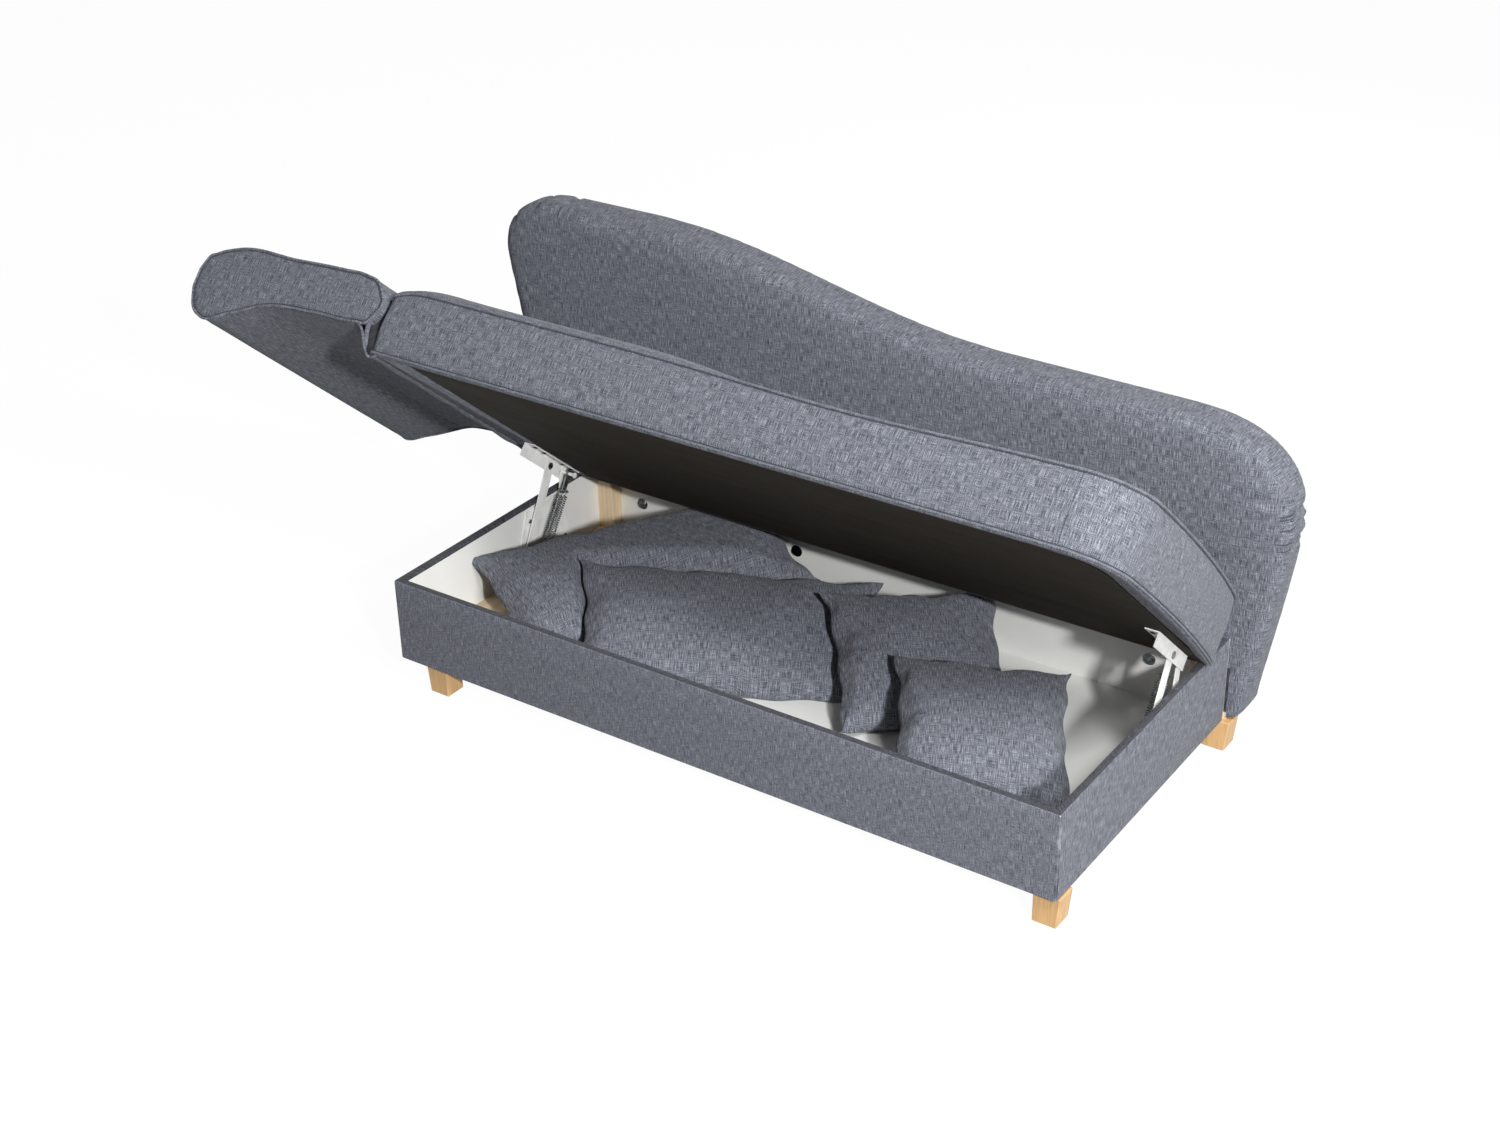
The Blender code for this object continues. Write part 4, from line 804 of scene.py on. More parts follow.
def swell(piece, held, pressure, most, slack=0.0):
    """Blow the piece up as cloth, seams held, for a few frames; no point moves further than most.

    The move saturates: most times the hyperbolic tangent of the free move over most.
    """
    start, _ = read_mesh(piece.data)
    group = piece.vertex_groups.new(name="seams")
    group.add(np.flatnonzero(held).tolist(), 1.0, "REPLACE")
    cloth = piece.modifiers.new("swell", "CLOTH")
    cloth.settings.quality = 4
    cloth.settings.mass = 0.25
    cloth.settings.tension_stiffness = 12.0
    cloth.settings.compression_stiffness = 12.0
    cloth.settings.bending_stiffness = 0.4
    cloth.settings.shrink_min = -slack
    cloth.settings.use_pressure = True
    cloth.settings.uniform_pressure_force = pressure
    cloth.settings.effector_weights.gravity = 0.0
    cloth.settings.vertex_group_mass = "seams"
    cloth.collision_settings.use_collision = False
    cloth.point_cache.frame_start = 1
    cloth.point_cache.frame_end = SWELL_FRAMES
    scene = bpy.context.scene
    for step in range(1, SWELL_FRAMES + 1):
        scene.frame_set(step)
    blown = piece.evaluated_get(bpy.context.evaluated_depsgraph_get())
    end, _ = read_mesh(blown.data)
    piece.modifiers.remove(cloth)
    piece.vertex_groups.remove(group)
    scene.frame_set(1)
    move = end - start
    reach = np.linalg.norm(move, axis=1, keepdims=True)
    share = most * np.tanh(reach / most) / np.maximum(reach, 1e-9)
    set_points(piece, start + move * share)


def finish_node(finish, *names):
    """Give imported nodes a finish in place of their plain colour."""
    for name in names:
        materials = NODES[name].data.materials
        materials.clear()
        materials.append(FINISHES[finish])


# Seat


def seat_right(along):
    """X of the seat's right end at a distance from its rear edge: a shallow sine bow."""
    bow = np.sin(np.pi * np.clip(along / SEAT_BOW_LENGTH, 0.0, 1.0)) ** 0.8
    return BOX_LENGTH + SEAT_RIGHT + SEAT_BOW * bow


def seat_outline(spacing):
    """Seat seen from above, anticlockwise in (x, y): a round front right corner, small ones elsewhere."""
    small = SEAT_SMALL_CORNER
    left = arc((SEAT_LEFT + small, -small), (small, small), 90, 180, 6)
    front_left = arc((SEAT_LEFT + small, -SEAT_DEPTH + small), (small, small), 180, 270, 6)
    turn = np.radians(np.linspace(90.0, 0.0, 24))
    along = SEAT_DEPTH - SEAT_CORNER + SEAT_CORNER * np.sin(turn)
    corner = np.column_stack([seat_right(along) - SEAT_CORNER * (1.0 - np.cos(turn)), -along])
    along = np.linspace(SEAT_DEPTH - SEAT_CORNER, small, 40)[1:]
    side = np.column_stack([seat_right(along), -along])
    rear_right = arc((side[-1, 0] - small, -small), (small, small), 0, 90, 6)
    return evenly(np.vstack([left, front_left, corner, side, rear_right]), spacing)


def seat_top(x, inside):
    """Height of the seat's top at x, inside from its outline: edge, crown, dip and fall to the crease.

    The crown is a quarter ellipse from the outline inwards. It is fuller to the left, by a logistic step.
    The dip is bell-shaped, and the fall toward the crease is a parabola.
    """
    size = sizes()
    share = np.clip(inside / SEAT_CROWN_REACH, 0.0, 1.0)
    step = 1.0 / (1.0 + np.exp((x - SEAT_CROWN_CHANGE) / SEAT_CROWN_CHANGE_LENGTH))
    crown = (size.seat_crown + size.seat_crown_more * step) * np.sqrt(1.0 - (1.0 - share) ** 2)
    dip = SEAT_DIP * np.exp(-((x - BOX_LENGTH + SEAT_DIP_PLACE) / SEAT_DIP_WIDTH) ** 2)
    fall = SEAT_LEFT_DROP * np.clip(1.0 - (x - SEAT_LEFT) / SEAT_LEFT_DROP_LENGTH, 0.0, 1.0) ** 2
    return SEAT_EDGE_TOP - dip + crown - fall


def seat_seam(outline, inset, share):
    """A line round the seat's side, in by inset, at a share of the side's height."""
    line = outline - outward(outline) * inset
    top = seat_top(line[:, 0], 0.0)
    return np.column_stack([line, SEAT_UNDER + (top - SEAT_UNDER) * share])


class RECAMIER_OT_seat(bpy.types.Operator):
    """Seat pad with its piping, boxing seam, hem under its edge and fabric band at its left end."""

    bl_idname = "recamier.seat"
    bl_label = "Seat"

    def execute(self, context):
        size = sizes()
        outline = seat_outline(SEAT_STEP)
        self.pad(size, outline)
        self.trim(size, outline)
        self.underside(outline)
        finish_node("board", "lid_board")
        finish_node("pine_across", "lid_rail_front", "lid_rail_rear", "lid_rail_left", "lid_rail_right")
        return {"FINISHED"}

    def pad(self, size, outline):
        """The padded form: an even mesh of the boxed outline, raised to the seat's top and blown up."""
        section = rounded_section(SEAT_UNDER, SEAT_EDGE_TOP, PAD_EDGE, size.seat_draw)
        points, faces = remeshed(*carried(outline, section), size.voxel)
        _, run, gap = nearest_on(outline, points[:, :2])
        share = (points[:, 2] - SEAT_UNDER) / (SEAT_EDGE_TOP - SEAT_UNDER)
        top = seat_top(points[:, 0], gap - size.seat_draw)
        points[:, 2] = SEAT_UNDER + share * (top - SEAT_UNDER)
        pad = make_piece("seat_cover", placed(SEAT_FRAME, points), faces, "fabric", "slate_fabric")
        set_pad_weave(pad, points, faces, run)
        near_seam = (gap < SEAM_HOLD) & ((share > 0.92) | (share < 0.08))
        swell(pad, near_seam | (share < 0.04), PAD_PRESSURE, PAD_SWELL)
        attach(pad, "lid")
        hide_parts("seat_pad")

    def trim(self, size, outline):
        """Piping round both edges, the stitched lines beside it and one upright seam in the front."""
        lines = [placed(SEAT_FRAME, seat_seam(outline, *place)) for place in SEAT_PIPING]
        welts = [tube(line, size.piping, SEAT_UPWARD) for line in lines]
        welt = make_joined("seat_piping", welts, "fabric", "slate_fabric")
        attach(welt, "lid")

        lines = [placed(SEAT_FRAME, seat_seam(outline, *place)) for place in SEAT_SEAMS]
        seams = [tube(line, STITCH, SEAT_UPWARD, sides=STITCH_SIDES) for line in lines]
        behind = outline[:, 1] > -SEAT_DEPTH / 2.0
        front = outline[np.argmin(np.abs(outline[:, 0] - SEAT_UPRIGHT_SEAM) + 10.0 * behind)]
        level = np.linspace(0.05, 0.95, 24)
        bulge = size.seat_draw * (1.0 - (2.0 * level - 1.0) ** 2)
        inward = np.array([0.0, 1.0]) * (size.seat_draw - bulge)[:, None]
        heights = SEAT_UNDER + level * (SEAT_EDGE_TOP - SEAT_UNDER)
        line = placed(SEAT_FRAME, np.column_stack([front + inward, heights]))
        seams.append(tube(line, FINE_STITCH, LENGTHWISE, closed=False, sides=STITCH_SIDES))
        seam = make_joined("seat_seams", seams, "thread", "slate_fabric")
        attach(seam, "lid")

    def underside(self, outline):
        """Hem turned in under the edge all round, and the fabric band under the left end."""
        section = np.array(SEAT_HEM)
        points = inset_rows(outline, section)
        faces = grid_faces(len(section), len(outline), close_rows=True, close_columns=True)[:, ::-1]
        hem = make_piece("seat_hem", placed(SEAT_FRAME, points), faces, "fabric", "slate_fabric",
                         points[:, :2])
        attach(hem, "lid")
        low, high, front, rear = SEAT_BAND
        corners = np.array([[low, front], [high, front], [high, rear], [low, rear]])
        section = np.array([[0.0, height] for height in SEAT_BAND_HEIGHTS])
        points, faces = carried(evenly(corners, 0.012), section)
        band = make_piece("seat_end_band", placed(SEAT_FRAME, points), faces, "fabric", "slate_fabric",
                          points[:, :2])
        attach(band, "lid")


# Headrest


def head_outline(spacing):
    """Side view of the headrest, anticlockwise in (x, w): its top from the crease, then its underside."""
    share = np.linspace(0.0, 1.0, 120)
    low = HEAD_UNDERSIDE[0][0]
    high = HEAD_UNDERSIDE[-1][0]
    xs = low + (high - low) * (0.5 - 0.5 * np.cos(np.pi * share))
    under = np.column_stack([xs, smooth_through(HEAD_UNDERSIDE, xs)])
    top = np.column_stack([xs, smooth_through(HEAD_TOP, xs)])[::-1]
    return evenly(np.vstack([top, under]), spacing)


def sagged(points):
    """Headrest points (x, w, distance from the rear) let down at the rear and stretched back there.

    Both grow linearly toward the rear. The stretch stops short of the backrest's left end.
    """
    low = np.clip((HEAD_SAG_BELOW - points[:, 1]) / HEAD_EASE, 0.0, 1.0)
    rear = 1.0 - np.clip(points[:, 2] / SEAT_DEPTH, 0.0, 1.0)
    clear = np.clip((HEAD_REAR_START - points[:, 0]) / HEAD_EASE, 0.0, 1.0)
    free = np.clip((HEAD_CREASE - points[:, 0]) / HEAD_SAG_LENGTH, 0.0, 1.0)
    moved = points.copy()
    moved[:, 1] -= HEAD_SAG * low * rear * free
    moved[:, 2] -= HEAD_REAR * eased(clear) * rear
    return moved


def crease_lines():
    """The crease's outer line from the headrest to the seat and its inner line back, as (x, w)."""
    share = np.linspace(0.0, 1.0, 26)
    xs = CREASE_OUTER[0][0] + (CREASE_OUTER[-1][0] - CREASE_OUTER[0][0]) * share
    outer = np.column_stack([xs, smooth_through(CREASE_OUTER, xs)])
    inner = np.column_stack([xs, smooth_through(CREASE_INNER, xs)])[::-1]
    return outer, inner


class RECAMIER_OT_headrest(bpy.types.Operator):
    """Headrest pad with piping round both sides, and the slack fabric in the crease to the seat."""

    bl_idname = "recamier.headrest"
    bl_label = "Headrest"

    def execute(self, context):
        size = sizes()
        outline = head_outline(HEAD_STEP)
        self.pad(size, outline)
        self.trim(size, outline)
        outer, inner = crease_lines()
        for piece in (self.crease(outer, inner), self.crease_piping(size, outer)):
            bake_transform(piece)
        finish_node("zinc", "hinge_head_leaf_front", "hinge_head_leaf_rear", "hinge_seat_leaf_front",
                    "hinge_seat_leaf_rear")
        return {"FINISHED"}

    def pad(self, size, outline):
        """The padded form: an even mesh of the side view carried across the depth, let down and blown up."""
        section = rounded_section(0.0, SEAT_DEPTH + 0.002, PAD_EDGE, 0.002, 16)
        even, faces = remeshed(*carried(outline, section), size.voxel)
        _, run, gap = nearest_on(outline, even[:, :2])
        points = sagged(even)
        pad = make_piece("headrest_cover", placed(HEAD_FRAME, points), faces, "fabric", "slate_fabric")
        set_pad_weave(pad, even, faces, run)
        ends = (points[:, 2] < 0.012) | (points[:, 2] > SEAT_DEPTH - 0.012)
        swell(pad, (ends & (gap < SEAM_HOLD)) | (points[:, 0] > HEAD_CREASE), PAD_PRESSURE, PAD_SWELL)
        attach(pad, "headrest")
        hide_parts("headrest_pad", "headrest_board")

    def trim(self, size, outline):
        """Piping and a stitched line round both sides, let down with the pad.

        Each side has the distances of its piping and its stitches from the rear, and the piping's inset.
        """
        rear = (0.0034, 0.0010, 0.0034)
        front = (SEAT_DEPTH + 0.0005, SEAT_DEPTH + 0.0018, 0.0022)
        stitches_in = 0.0046
        welts = []
        seams = []
        for place, seam_place, inset in (rear, front):
            path = sagged(inset_rows(outline, np.array([[inset, place]])))
            welts.append(tube(placed(HEAD_FRAME, path), size.piping, SEAT_BACKWARD))
            path = sagged(inset_rows(outline, np.array([[inset + stitches_in, seam_place]])))
            seams.append(tube(placed(HEAD_FRAME, path), STITCH, SEAT_BACKWARD, sides=STITCH_SIDES))
        welt = make_joined("headrest_piping", welts, "fabric", "slate_fabric")
        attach(welt, "headrest")
        seam = make_joined("headrest_seams", seams, "thread", "slate_fabric")
        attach(seam, "headrest")

    def crease(self, outer, inner):
        """Slack fabric across the crease: its outer and inner line carried along the depth, lightly waved.

        The wave is a sum of sines along the depth, strongest half way across the crease. The ends lie
        further in next to the seat and on the inner line.
        """
        loop = np.vstack([outer, inner])
        depth = np.linspace(0.0, 1.0, 110)
        across = np.linspace(0.0, 1.0, len(outer))
        slack = np.concatenate([np.sin(np.pi * across) ** 2, np.zeros(len(inner))])
        wave = sum(height * np.sin(depth * angle + start) for height, angle, start in CREASE_WAVES)
        rows = np.broadcast_to(loop[None], (len(depth), *loop.shape)).copy()
        rows[:, :, 1] += slack[None] * wave[:, None]
        rows[:, :, 0] += 0.6 * slack[None] * np.roll(wave, 4)[:, None]
        near_seat = np.clip((loop[:, 0] - CREASE_RECESS_FROM) / 0.008, 0.0, 1.0)
        near_seat *= np.clip((loop[:, 1] - 0.002) / 0.02, 0.0, 1.0)
        inward = np.concatenate([np.zeros(len(outer)), np.ones(len(inner))])
        end = 0.004 + np.maximum(CREASE_RECESS * near_seat, CREASE_HOLLOW * inward)
        run_across = end[None] + (SEAT_DEPTH - 2.0 * end[None]) * depth[:, None]
        points = np.concatenate([rows, run_across[:, :, None]], axis=2).reshape(-1, 3)
        faces = with_ends(grid_faces(len(depth), len(loop), close_columns=True), len(loop), len(points))
        weave = weave_pairs(run_along(loop)[None], depth[:, None] * SEAT_DEPTH)
        fold = make_piece("crease_fold", placed(HEAD_FRAME, points), faces, "fabric", "slate_fabric", weave)
        # The two end faces take the darker copy of the fabric: painted shade deep in the crease.
        fold.data.materials.append(FINISHES["fabric_turned"])
        ends = np.zeros(len(faces), dtype=np.int32)
        ends[-2:] = 1
        fold.data.polygons.foreach_set("material_index", ends)
        return fold

    def crease_piping(self, size, outer):
        """Piping along the crease's outer line, and a fold that thins out at both ends, on each side."""
        line = evenly(np.array(CREASE_FOLD), 0.004, closed=False)
        radius = 0.0050 * np.sin(np.pi * np.linspace(0.06, 0.94, len(line))) ** 0.6
        welts = []
        for place, fold_place in ((SEAT_DEPTH - 0.003, SEAT_DEPTH - 0.009), (0.003, 0.009)):
            path = np.column_stack([outer[3:-3], np.full(len(outer) - 6, place)])
            welts.append(tube(placed(HEAD_FRAME, path), size.piping, SEAT_BACKWARD, closed=False))
            path = np.column_stack([line, np.full(len(line), fold_place)])
            welts.append(tube(placed(HEAD_FRAME, path), radius, SEAT_BACKWARD, closed=False))
        return make_joined("crease_piping", welts, "fabric", "slate_fabric")


# Backrest


def back_outline(spacing):
    """Front view of the backrest, anticlockwise in (x, z): round ends, and a cosine wave from tall to low."""
    left = -BACK_LEFT_REACH
    right = BOX_LENGTH + BACK_RIGHT_REACH
    fall = np.linspace(1.0, 0.0, 60)
    wave_x = BACK_WAVE_START + (BOX_LENGTH - BACK_WAVE_END - BACK_WAVE_START) * fall
    wave_z = BACK_LOW + (BACK_TALL - BACK_LOW) * (0.5 + 0.5 * np.cos(np.pi * fall))
    right_corner = arc((right - BACK_RIGHT_CORNER, BACK_RIGHT_WIDEST),
                       (BACK_RIGHT_CORNER, BACK_RIGHT_TOP - BACK_RIGHT_WIDEST), 0, 90, 40, 2.4)
    left_corner = arc((left + BACK_LEFT_CORNER, BACK_LEFT_WIDEST),
                      (BACK_LEFT_CORNER, BACK_TALL - BACK_LEFT_WIDEST), 90, 180, 30, 2.35)
    down = np.linspace(0.0, 1.0, 30)
    left_z = BACK_LEFT_WIDEST + (BOTTOM - BACK_LEFT_WIDEST) * down
    left_side = np.column_stack([left + BACK_LEFT_TAPER * down ** 1.3, left_z])[1:]
    foot_wide, foot_high = BACK_FOOT_CORNER
    foot_centre = (right - BACK_RIGHT_TAPER - foot_wide, BOTTOM + foot_high)
    foot = arc(foot_centre, BACK_FOOT_CORNER, 270, 360, 8)
    up = np.linspace(1.0, 0.0, 30)
    right_z = BACK_RIGHT_WIDEST + (BOTTOM + foot_high - BACK_RIGHT_WIDEST) * up
    right_side = np.column_stack([right - BACK_RIGHT_TAPER * up ** 1.2, right_z])[1:-1]
    line = [right_side, right_corner, np.column_stack([wave_x, wave_z]), left_corner, left_side, foot]
    return evenly(np.vstack(line), spacing)


class RECAMIER_OT_backrest(bpy.types.Operator):
    """Backrest pad with pleats at its tight bends, dark lines of painted shade down them, and the seam of its
    back cover.
    """

    bl_idname = "recamier.backrest"
    bl_label = "Backrest"

    def execute(self, context):
        size = sizes()
        outline = back_outline(BACK_STEP)
        pleats = [np.argmin(((outline - place) ** 2).sum(axis=1)) for place in PLEATS]
        front = -(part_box("backrest_pad")[0].y - FRONT)
        rear = -(BACKREST_REAR - FRONT)
        self.pad(size, outline, pleats, front, rear)
        path = inset_rows(outline, np.array([[BACK_RIM, rear + 0.0005]]))
        form = tube(placed(BACK_FRAME, path), BACK_PIPING, (0.0, 1.0, 0.0))
        welt = make_piece("backrest_rear_piping", *form[:2], "fabric", "slate_fabric", form[2])
        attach(welt, "base")
        self.pleat_shade_lines(size, outline, pleats, front)
        finish_node("plywood", "backrest_board")
        finish_node("pine_across", "backrest_lower_rail")
        return {"FINISHED"}

    def pad(self, size, outline, pleats, front, rear):
        """The padded form: an even mesh of the front view, drawn in at the pleats, crowned and blown up.

        The edge is rounded less toward the floor. A pleat is bell-shaped along the outline and in from it.
        The crown is a parabola in from the outline, only in front and above the seat.
        """
        section = rounded_section(rear, front, size.back_round, 0.0)
        weight = 0.2 + 0.8 * np.clip((outline[:, 1] - BOTTOM - 0.02) / 0.08, 0.0, 1.0)
        points, faces = remeshed(*carried(outline, section, weight), size.voxel)
        place, run, gap = nearest_on(outline, points[:, :2])
        even = points.copy()
        pleat = np.zeros(len(points))
        for centre in pleats:
            along = run - centre * BACK_STEP
            pleat += np.exp(-(along / PLEAT_WIDTH) ** 2) * np.exp(-(gap / PLEAT_REACH) ** 2)
        points[:, :2] -= outward(outline)[place] * (PLEAT_DEPTH * np.clip(pleat, 0.0, 1.0))[:, None]
        rise = np.clip(gap / BACK_CROWN_REACH, 0.0, 1.0)
        facing = np.clip((points[:, 2] - (front + rear) / 2.0) / ((front - rear) / 2.0), -1.0, 1.0)
        above = np.clip((points[:, 1] - BACK_MEETS_SEAT) / 0.10, 0.0, 1.0)
        points[:, 2] += size.back_crown * rise * (2.0 - rise) * np.clip(facing, 0.0, 1.0) * above
        pad = make_piece("backrest_cover", placed(BACK_FRAME, points), faces, "fabric", "slate_fabric")
        set_pad_weave(pad, even, faces, run)
        low = points[:, 1] < BACK_MEETS_SEAT
        swell(pad, low | (facing < -0.4) | (pleat > 0.4), 3.0, 0.004)
        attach(pad, "base")
        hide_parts("backrest_pad", "backrest_back_cover")

    def pleat_shade_lines(self, size, outline, pleats, front):
        """Painted shade down the pleats: thin dark lines in the thread's colour, each bent round the edge
        from its side to its front.
        """
        step = np.linspace(0.0, 1.0, 14)
        turn = np.radians(-20.0 + 135.0 * step)
        depth = front - size.back_round + size.back_round * np.sin(turn) * 0.96
        inward = size.back_round * (1.0 - np.cos(turn) * 0.96) + 0.004
        radius = PLEAT_SHADE_RADIUS * np.sin(np.pi * (0.05 + 0.9 * step)) ** 0.7
        lines = []
        for centre in pleats:
            out = outward(outline)[centre]
            path = np.column_stack([outline[centre] - out * inward[:, None], depth])
            beside = np.array([out[1], 0.0, -out[0]])
            lines.append(tube(placed(BACK_FRAME, path), radius, beside, closed=False, sides=8))
        # Lines in the dark thread's colour: painted shade down the pleats.
        pleat_shade = make_joined("backrest_tucks", lines, "thread", "slate_fabric")
        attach(pleat_shade, "base")


# Storage box


class RECAMIER_OT_box(bpy.types.Operator):
    """Fabric drawn over the box's outer faces and rim, white lining, timber, feet and backrest bolts."""

    bl_idname = "recamier.box"
    bl_label = "Storage box"

    def execute(self, context):
        self.cover()
        finish_node("melamine", "box_front_panel", "box_rear_panel", "box_left_panel", "box_right_panel",
                    "base_board")
        finish_node("pine_across", "cross_rail_left", "cross_rail_right")
        for end in ("front", "rear"):
            for side in ("left", "right"):
                finish_node("pine_upright", "corner_block_%s_%s" % (end, side))
                finish_node("beech", "foot_%s_%s" % (end, side))
                finish_node("zinc", "foot_bolt_%s_%s" % (end, side))
        self.bolts()
        return {"FINISHED"}

    def cover(self):
        """One cloth round the box: a section of (out, z) carried round it, with painted shade on the rim's
        rows.
        """
        skin = 0.0016
        lip = 0.0008
        section = np.array([
            (-0.006, BOTTOM - lip), (0.0, BOTTOM - lip), (skin, BOTTOM + 0.001), (skin, BOTTOM + 0.062),
            (skin, RIM - 0.062), (skin, RIM - 0.003), (skin * 0.6, RIM - 0.0005), (-0.001, RIM + lip),
            (-PANEL + 0.001, RIM + lip), (-PANEL - 0.0008, RIM - 0.0006), (-PANEL - 0.0010, RIM - 0.006),
            (-PANEL + 0.001, RIM - 0.006), (-PANEL + 0.001, RIM - 0.001), (-0.001, RIM - 0.001),
            (-0.001, BOTTOM + 0.001), (-0.006, BOTTOM + 0.001)])
        rows = np.stack([self.ring(out) for out in section[:, 0]])
        outline = rows[0]
        points = lifted(rows, section)
        faces = grid_faces(len(section), len(outline), close_rows=True, close_columns=True)
        weave = weave_pairs(run_along(outline)[None], run_along(section)[:, None])
        cover = make_piece("box_cover", points, faces, "fabric", "slate_fabric", weave)
        cover.data.set_sharp_from_angle(angle=math.radians(40.0))
        # The rim's top and inner lip take the darker copy of the fabric: painted shade.
        cover.data.materials.append(FINISHES["fabric_turned"])
        rim_first = 7
        rim_last = 10
        row = np.arange(len(faces)) // len(outline)
        over_rim = (row >= rim_first) & (row <= rim_last)
        cover.data.polygons.foreach_set("material_index", over_rim.astype(np.int32))
        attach(cover, "base")

    def bolts(self):
        """A washer and a socket head on each backrest bolt, inside the box."""
        toward = (0.0, -1.0, 0.0)
        for number, finish in enumerate(BOLT_FINISHES, 1):
            bolt = "backrest_bolt_%d" % number
            finish_node(finish, bolt)
            low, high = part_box(bolt)
            middle = ((low.x + high.x) / 2.0, BACK - PANEL, (low.z + high.z) / 2.0)
            form = joined([turned(WASHER, middle, toward, 28), turned(SOCKET, middle, toward, 24)])
            piece = make_piece("backrest_washer_%d" % number, *form, finish, "zinc_steel")
            piece.data.set_sharp_from_angle(angle=math.radians(35.0))
            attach(piece, "base")

    def ring(self, out):
        """The box's outline grown by out: straight sides, and round corners of 4 mm plus out.

        Behind, where the backrest stands against the box, it isn't grown.
        """
        radius = max(0.004 + out, 0.0003)
        left = LEFT - out + radius
        right = RIGHT + out - radius
        front = FRONT - out + radius
        back = BACK + min(out, -0.0004) - radius
        centres = ((right, front), (right, back), (left, back), (left, front))
        starts = (-90, 0, 90, 180)
        corners = zip(centres, starts)
        return np.vstack([arc(centre, (radius, radius), start, start + 90, 5) for centre, start in corners])


# Loose cushions


def cushion_under(width, depth, thickness, x, y):
    """Height that a cushion leaves free below it over (x, y), and how far outside its edge that place is.

    Below it that is half its thickness times a power of the falls toward all four edges, and outside it a
    slope of 0.9, with 5 mm between. The place across it, u and v from -1 to 1, is found by repeating the
    drawn-in rule backwards.
    """
    u = x / (width / 2.0)
    v = y / (depth / 2.0)
    for _ in range(6):
        u = x / (width / 2.0 * (1.0 - CUSHION_DRAW * (1.0 - np.clip(v, -1.0, 1.0) ** 2)))
        v = y / (depth / 2.0 * (1.0 - CUSHION_DRAW * (1.0 - np.clip(u, -1.0, 1.0) ** 2)))
    fat = np.clip(1.0 - u ** 2, 0.0, 1.0) * np.clip(1.0 - v ** 2, 0.0, 1.0)
    past_side = np.maximum(np.abs(u) - 1.0, 0.0) * width / 2.0
    past_end = np.maximum(np.abs(v) - 1.0, 0.0) * depth / 2.0
    beyond = np.maximum(past_side, past_end)
    return np.where(beyond > 0.0, 0.9 * beyond, -thickness / 2.0 * fat ** CUSHION_DOME) - 0.005, beyond


def cushion_pose(x, y, height, turn, lean, side):
    """A cushion's turn and place: about Z, then about its own X and Y."""
    spin = Matrix.Rotation(math.radians(turn), 3, "Z") @ Matrix.Rotation(math.radians(lean), 3, "X")
    spin = spin @ Matrix.Rotation(math.radians(side), 3, "Y")
    return np.array([LEFT + PANEL + x, FRONT + PANEL + y, FLOOR + height]), np.array(spin)


def cushion_form(width, depth, thickness, phase, columns=84, rows=64):
    """Knife-edge cushion: two crowned sheets that share their edge, drawn in between pointed corners.

    Half thickness is a power of the falls to the edges. Puckers, a sine along each edge that dies out in
    35 mm, raised corners, a slow wave of the edge and shallow lumps of the fill, products of sines, are
    added. Points crowd toward the edges by a sine.
    """
    u = np.sin(np.linspace(-np.pi / 2.0, np.pi / 2.0, columns))
    v = np.sin(np.linspace(-np.pi / 2.0, np.pi / 2.0, rows))
    u, v = np.meshgrid(u, v)
    x = width / 2.0 * u * (1.0 - CUSHION_DRAW * (1.0 - v ** 2))
    y = depth / 2.0 * v * (1.0 - CUSHION_DRAW * (1.0 - u ** 2))
    fat = (np.clip(1.0 - u ** 2, 0.0, 1.0) * np.clip(1.0 - v ** 2, 0.0, 1.0)) ** CUSHION_DOME
    to_side = (1.0 - np.abs(u)) * width / 2.0
    to_end = (1.0 - np.abs(v)) * depth / 2.0
    pucker = np.exp(-to_side / 0.035) * np.sin(y / 0.011 + 1.7 * np.sin(y / 0.05) + 2.0 * np.sign(u))
    pucker += np.exp(-to_end / 0.035) * np.sin(x / 0.0125 + 1.9 * np.sin(x / 0.06) + np.sign(v))
    lump = np.sin(x / 0.041 + phase) * np.sin(y / 0.037 + 2.0 * phase)
    lump += np.sin((x - y) / 0.055 + 3.0 * phase)
    half = thickness / 2.0 * fat * (0.95 + 0.06 * pucker + 0.035 * lump)
    wave = np.exp(-to_side / 0.05) * np.sin(y / 0.024 + phase)
    wave += np.exp(-to_end / 0.05) * np.sin(x / 0.027 + phase)
    lift = 0.010 * np.abs(u * v) ** 6 + 0.0045 * wave
    x = x + 0.0030 * np.exp(-to_side / 0.03) * np.sin(y / 0.017 + 2.0 * phase)
    y = y + 0.0030 * np.exp(-to_end / 0.03) * np.sin(x / 0.019 + 2.5 * phase)
    sheet = np.arange(columns * rows).reshape(rows, columns)
    under = np.full_like(sheet, -1)
    under[1:-1, 1:-1] = columns * rows + np.arange((columns - 2) * (rows - 2)).reshape(rows - 2, columns - 2)
    under = np.where(under < 0, sheet, under)
    upper = np.column_stack([x.ravel(), y.ravel(), (half + lift).ravel()])
    inside = (slice(1, -1), slice(1, -1))
    lower = np.column_stack([x[inside].ravel(), y[inside].ravel(), (lift - half)[inside].ravel()])
    faces = []
    for numbers, order in ((sheet, 1), (under, -1)):
        quads = np.stack([numbers[:-1, :-1], numbers[:-1, 1:], numbers[1:, 1:], numbers[1:, :-1]], axis=-1)
        faces.append(quads.reshape(-1, 4)[:, ::order])
    return np.vstack([upper, lower]), np.vstack(faces)


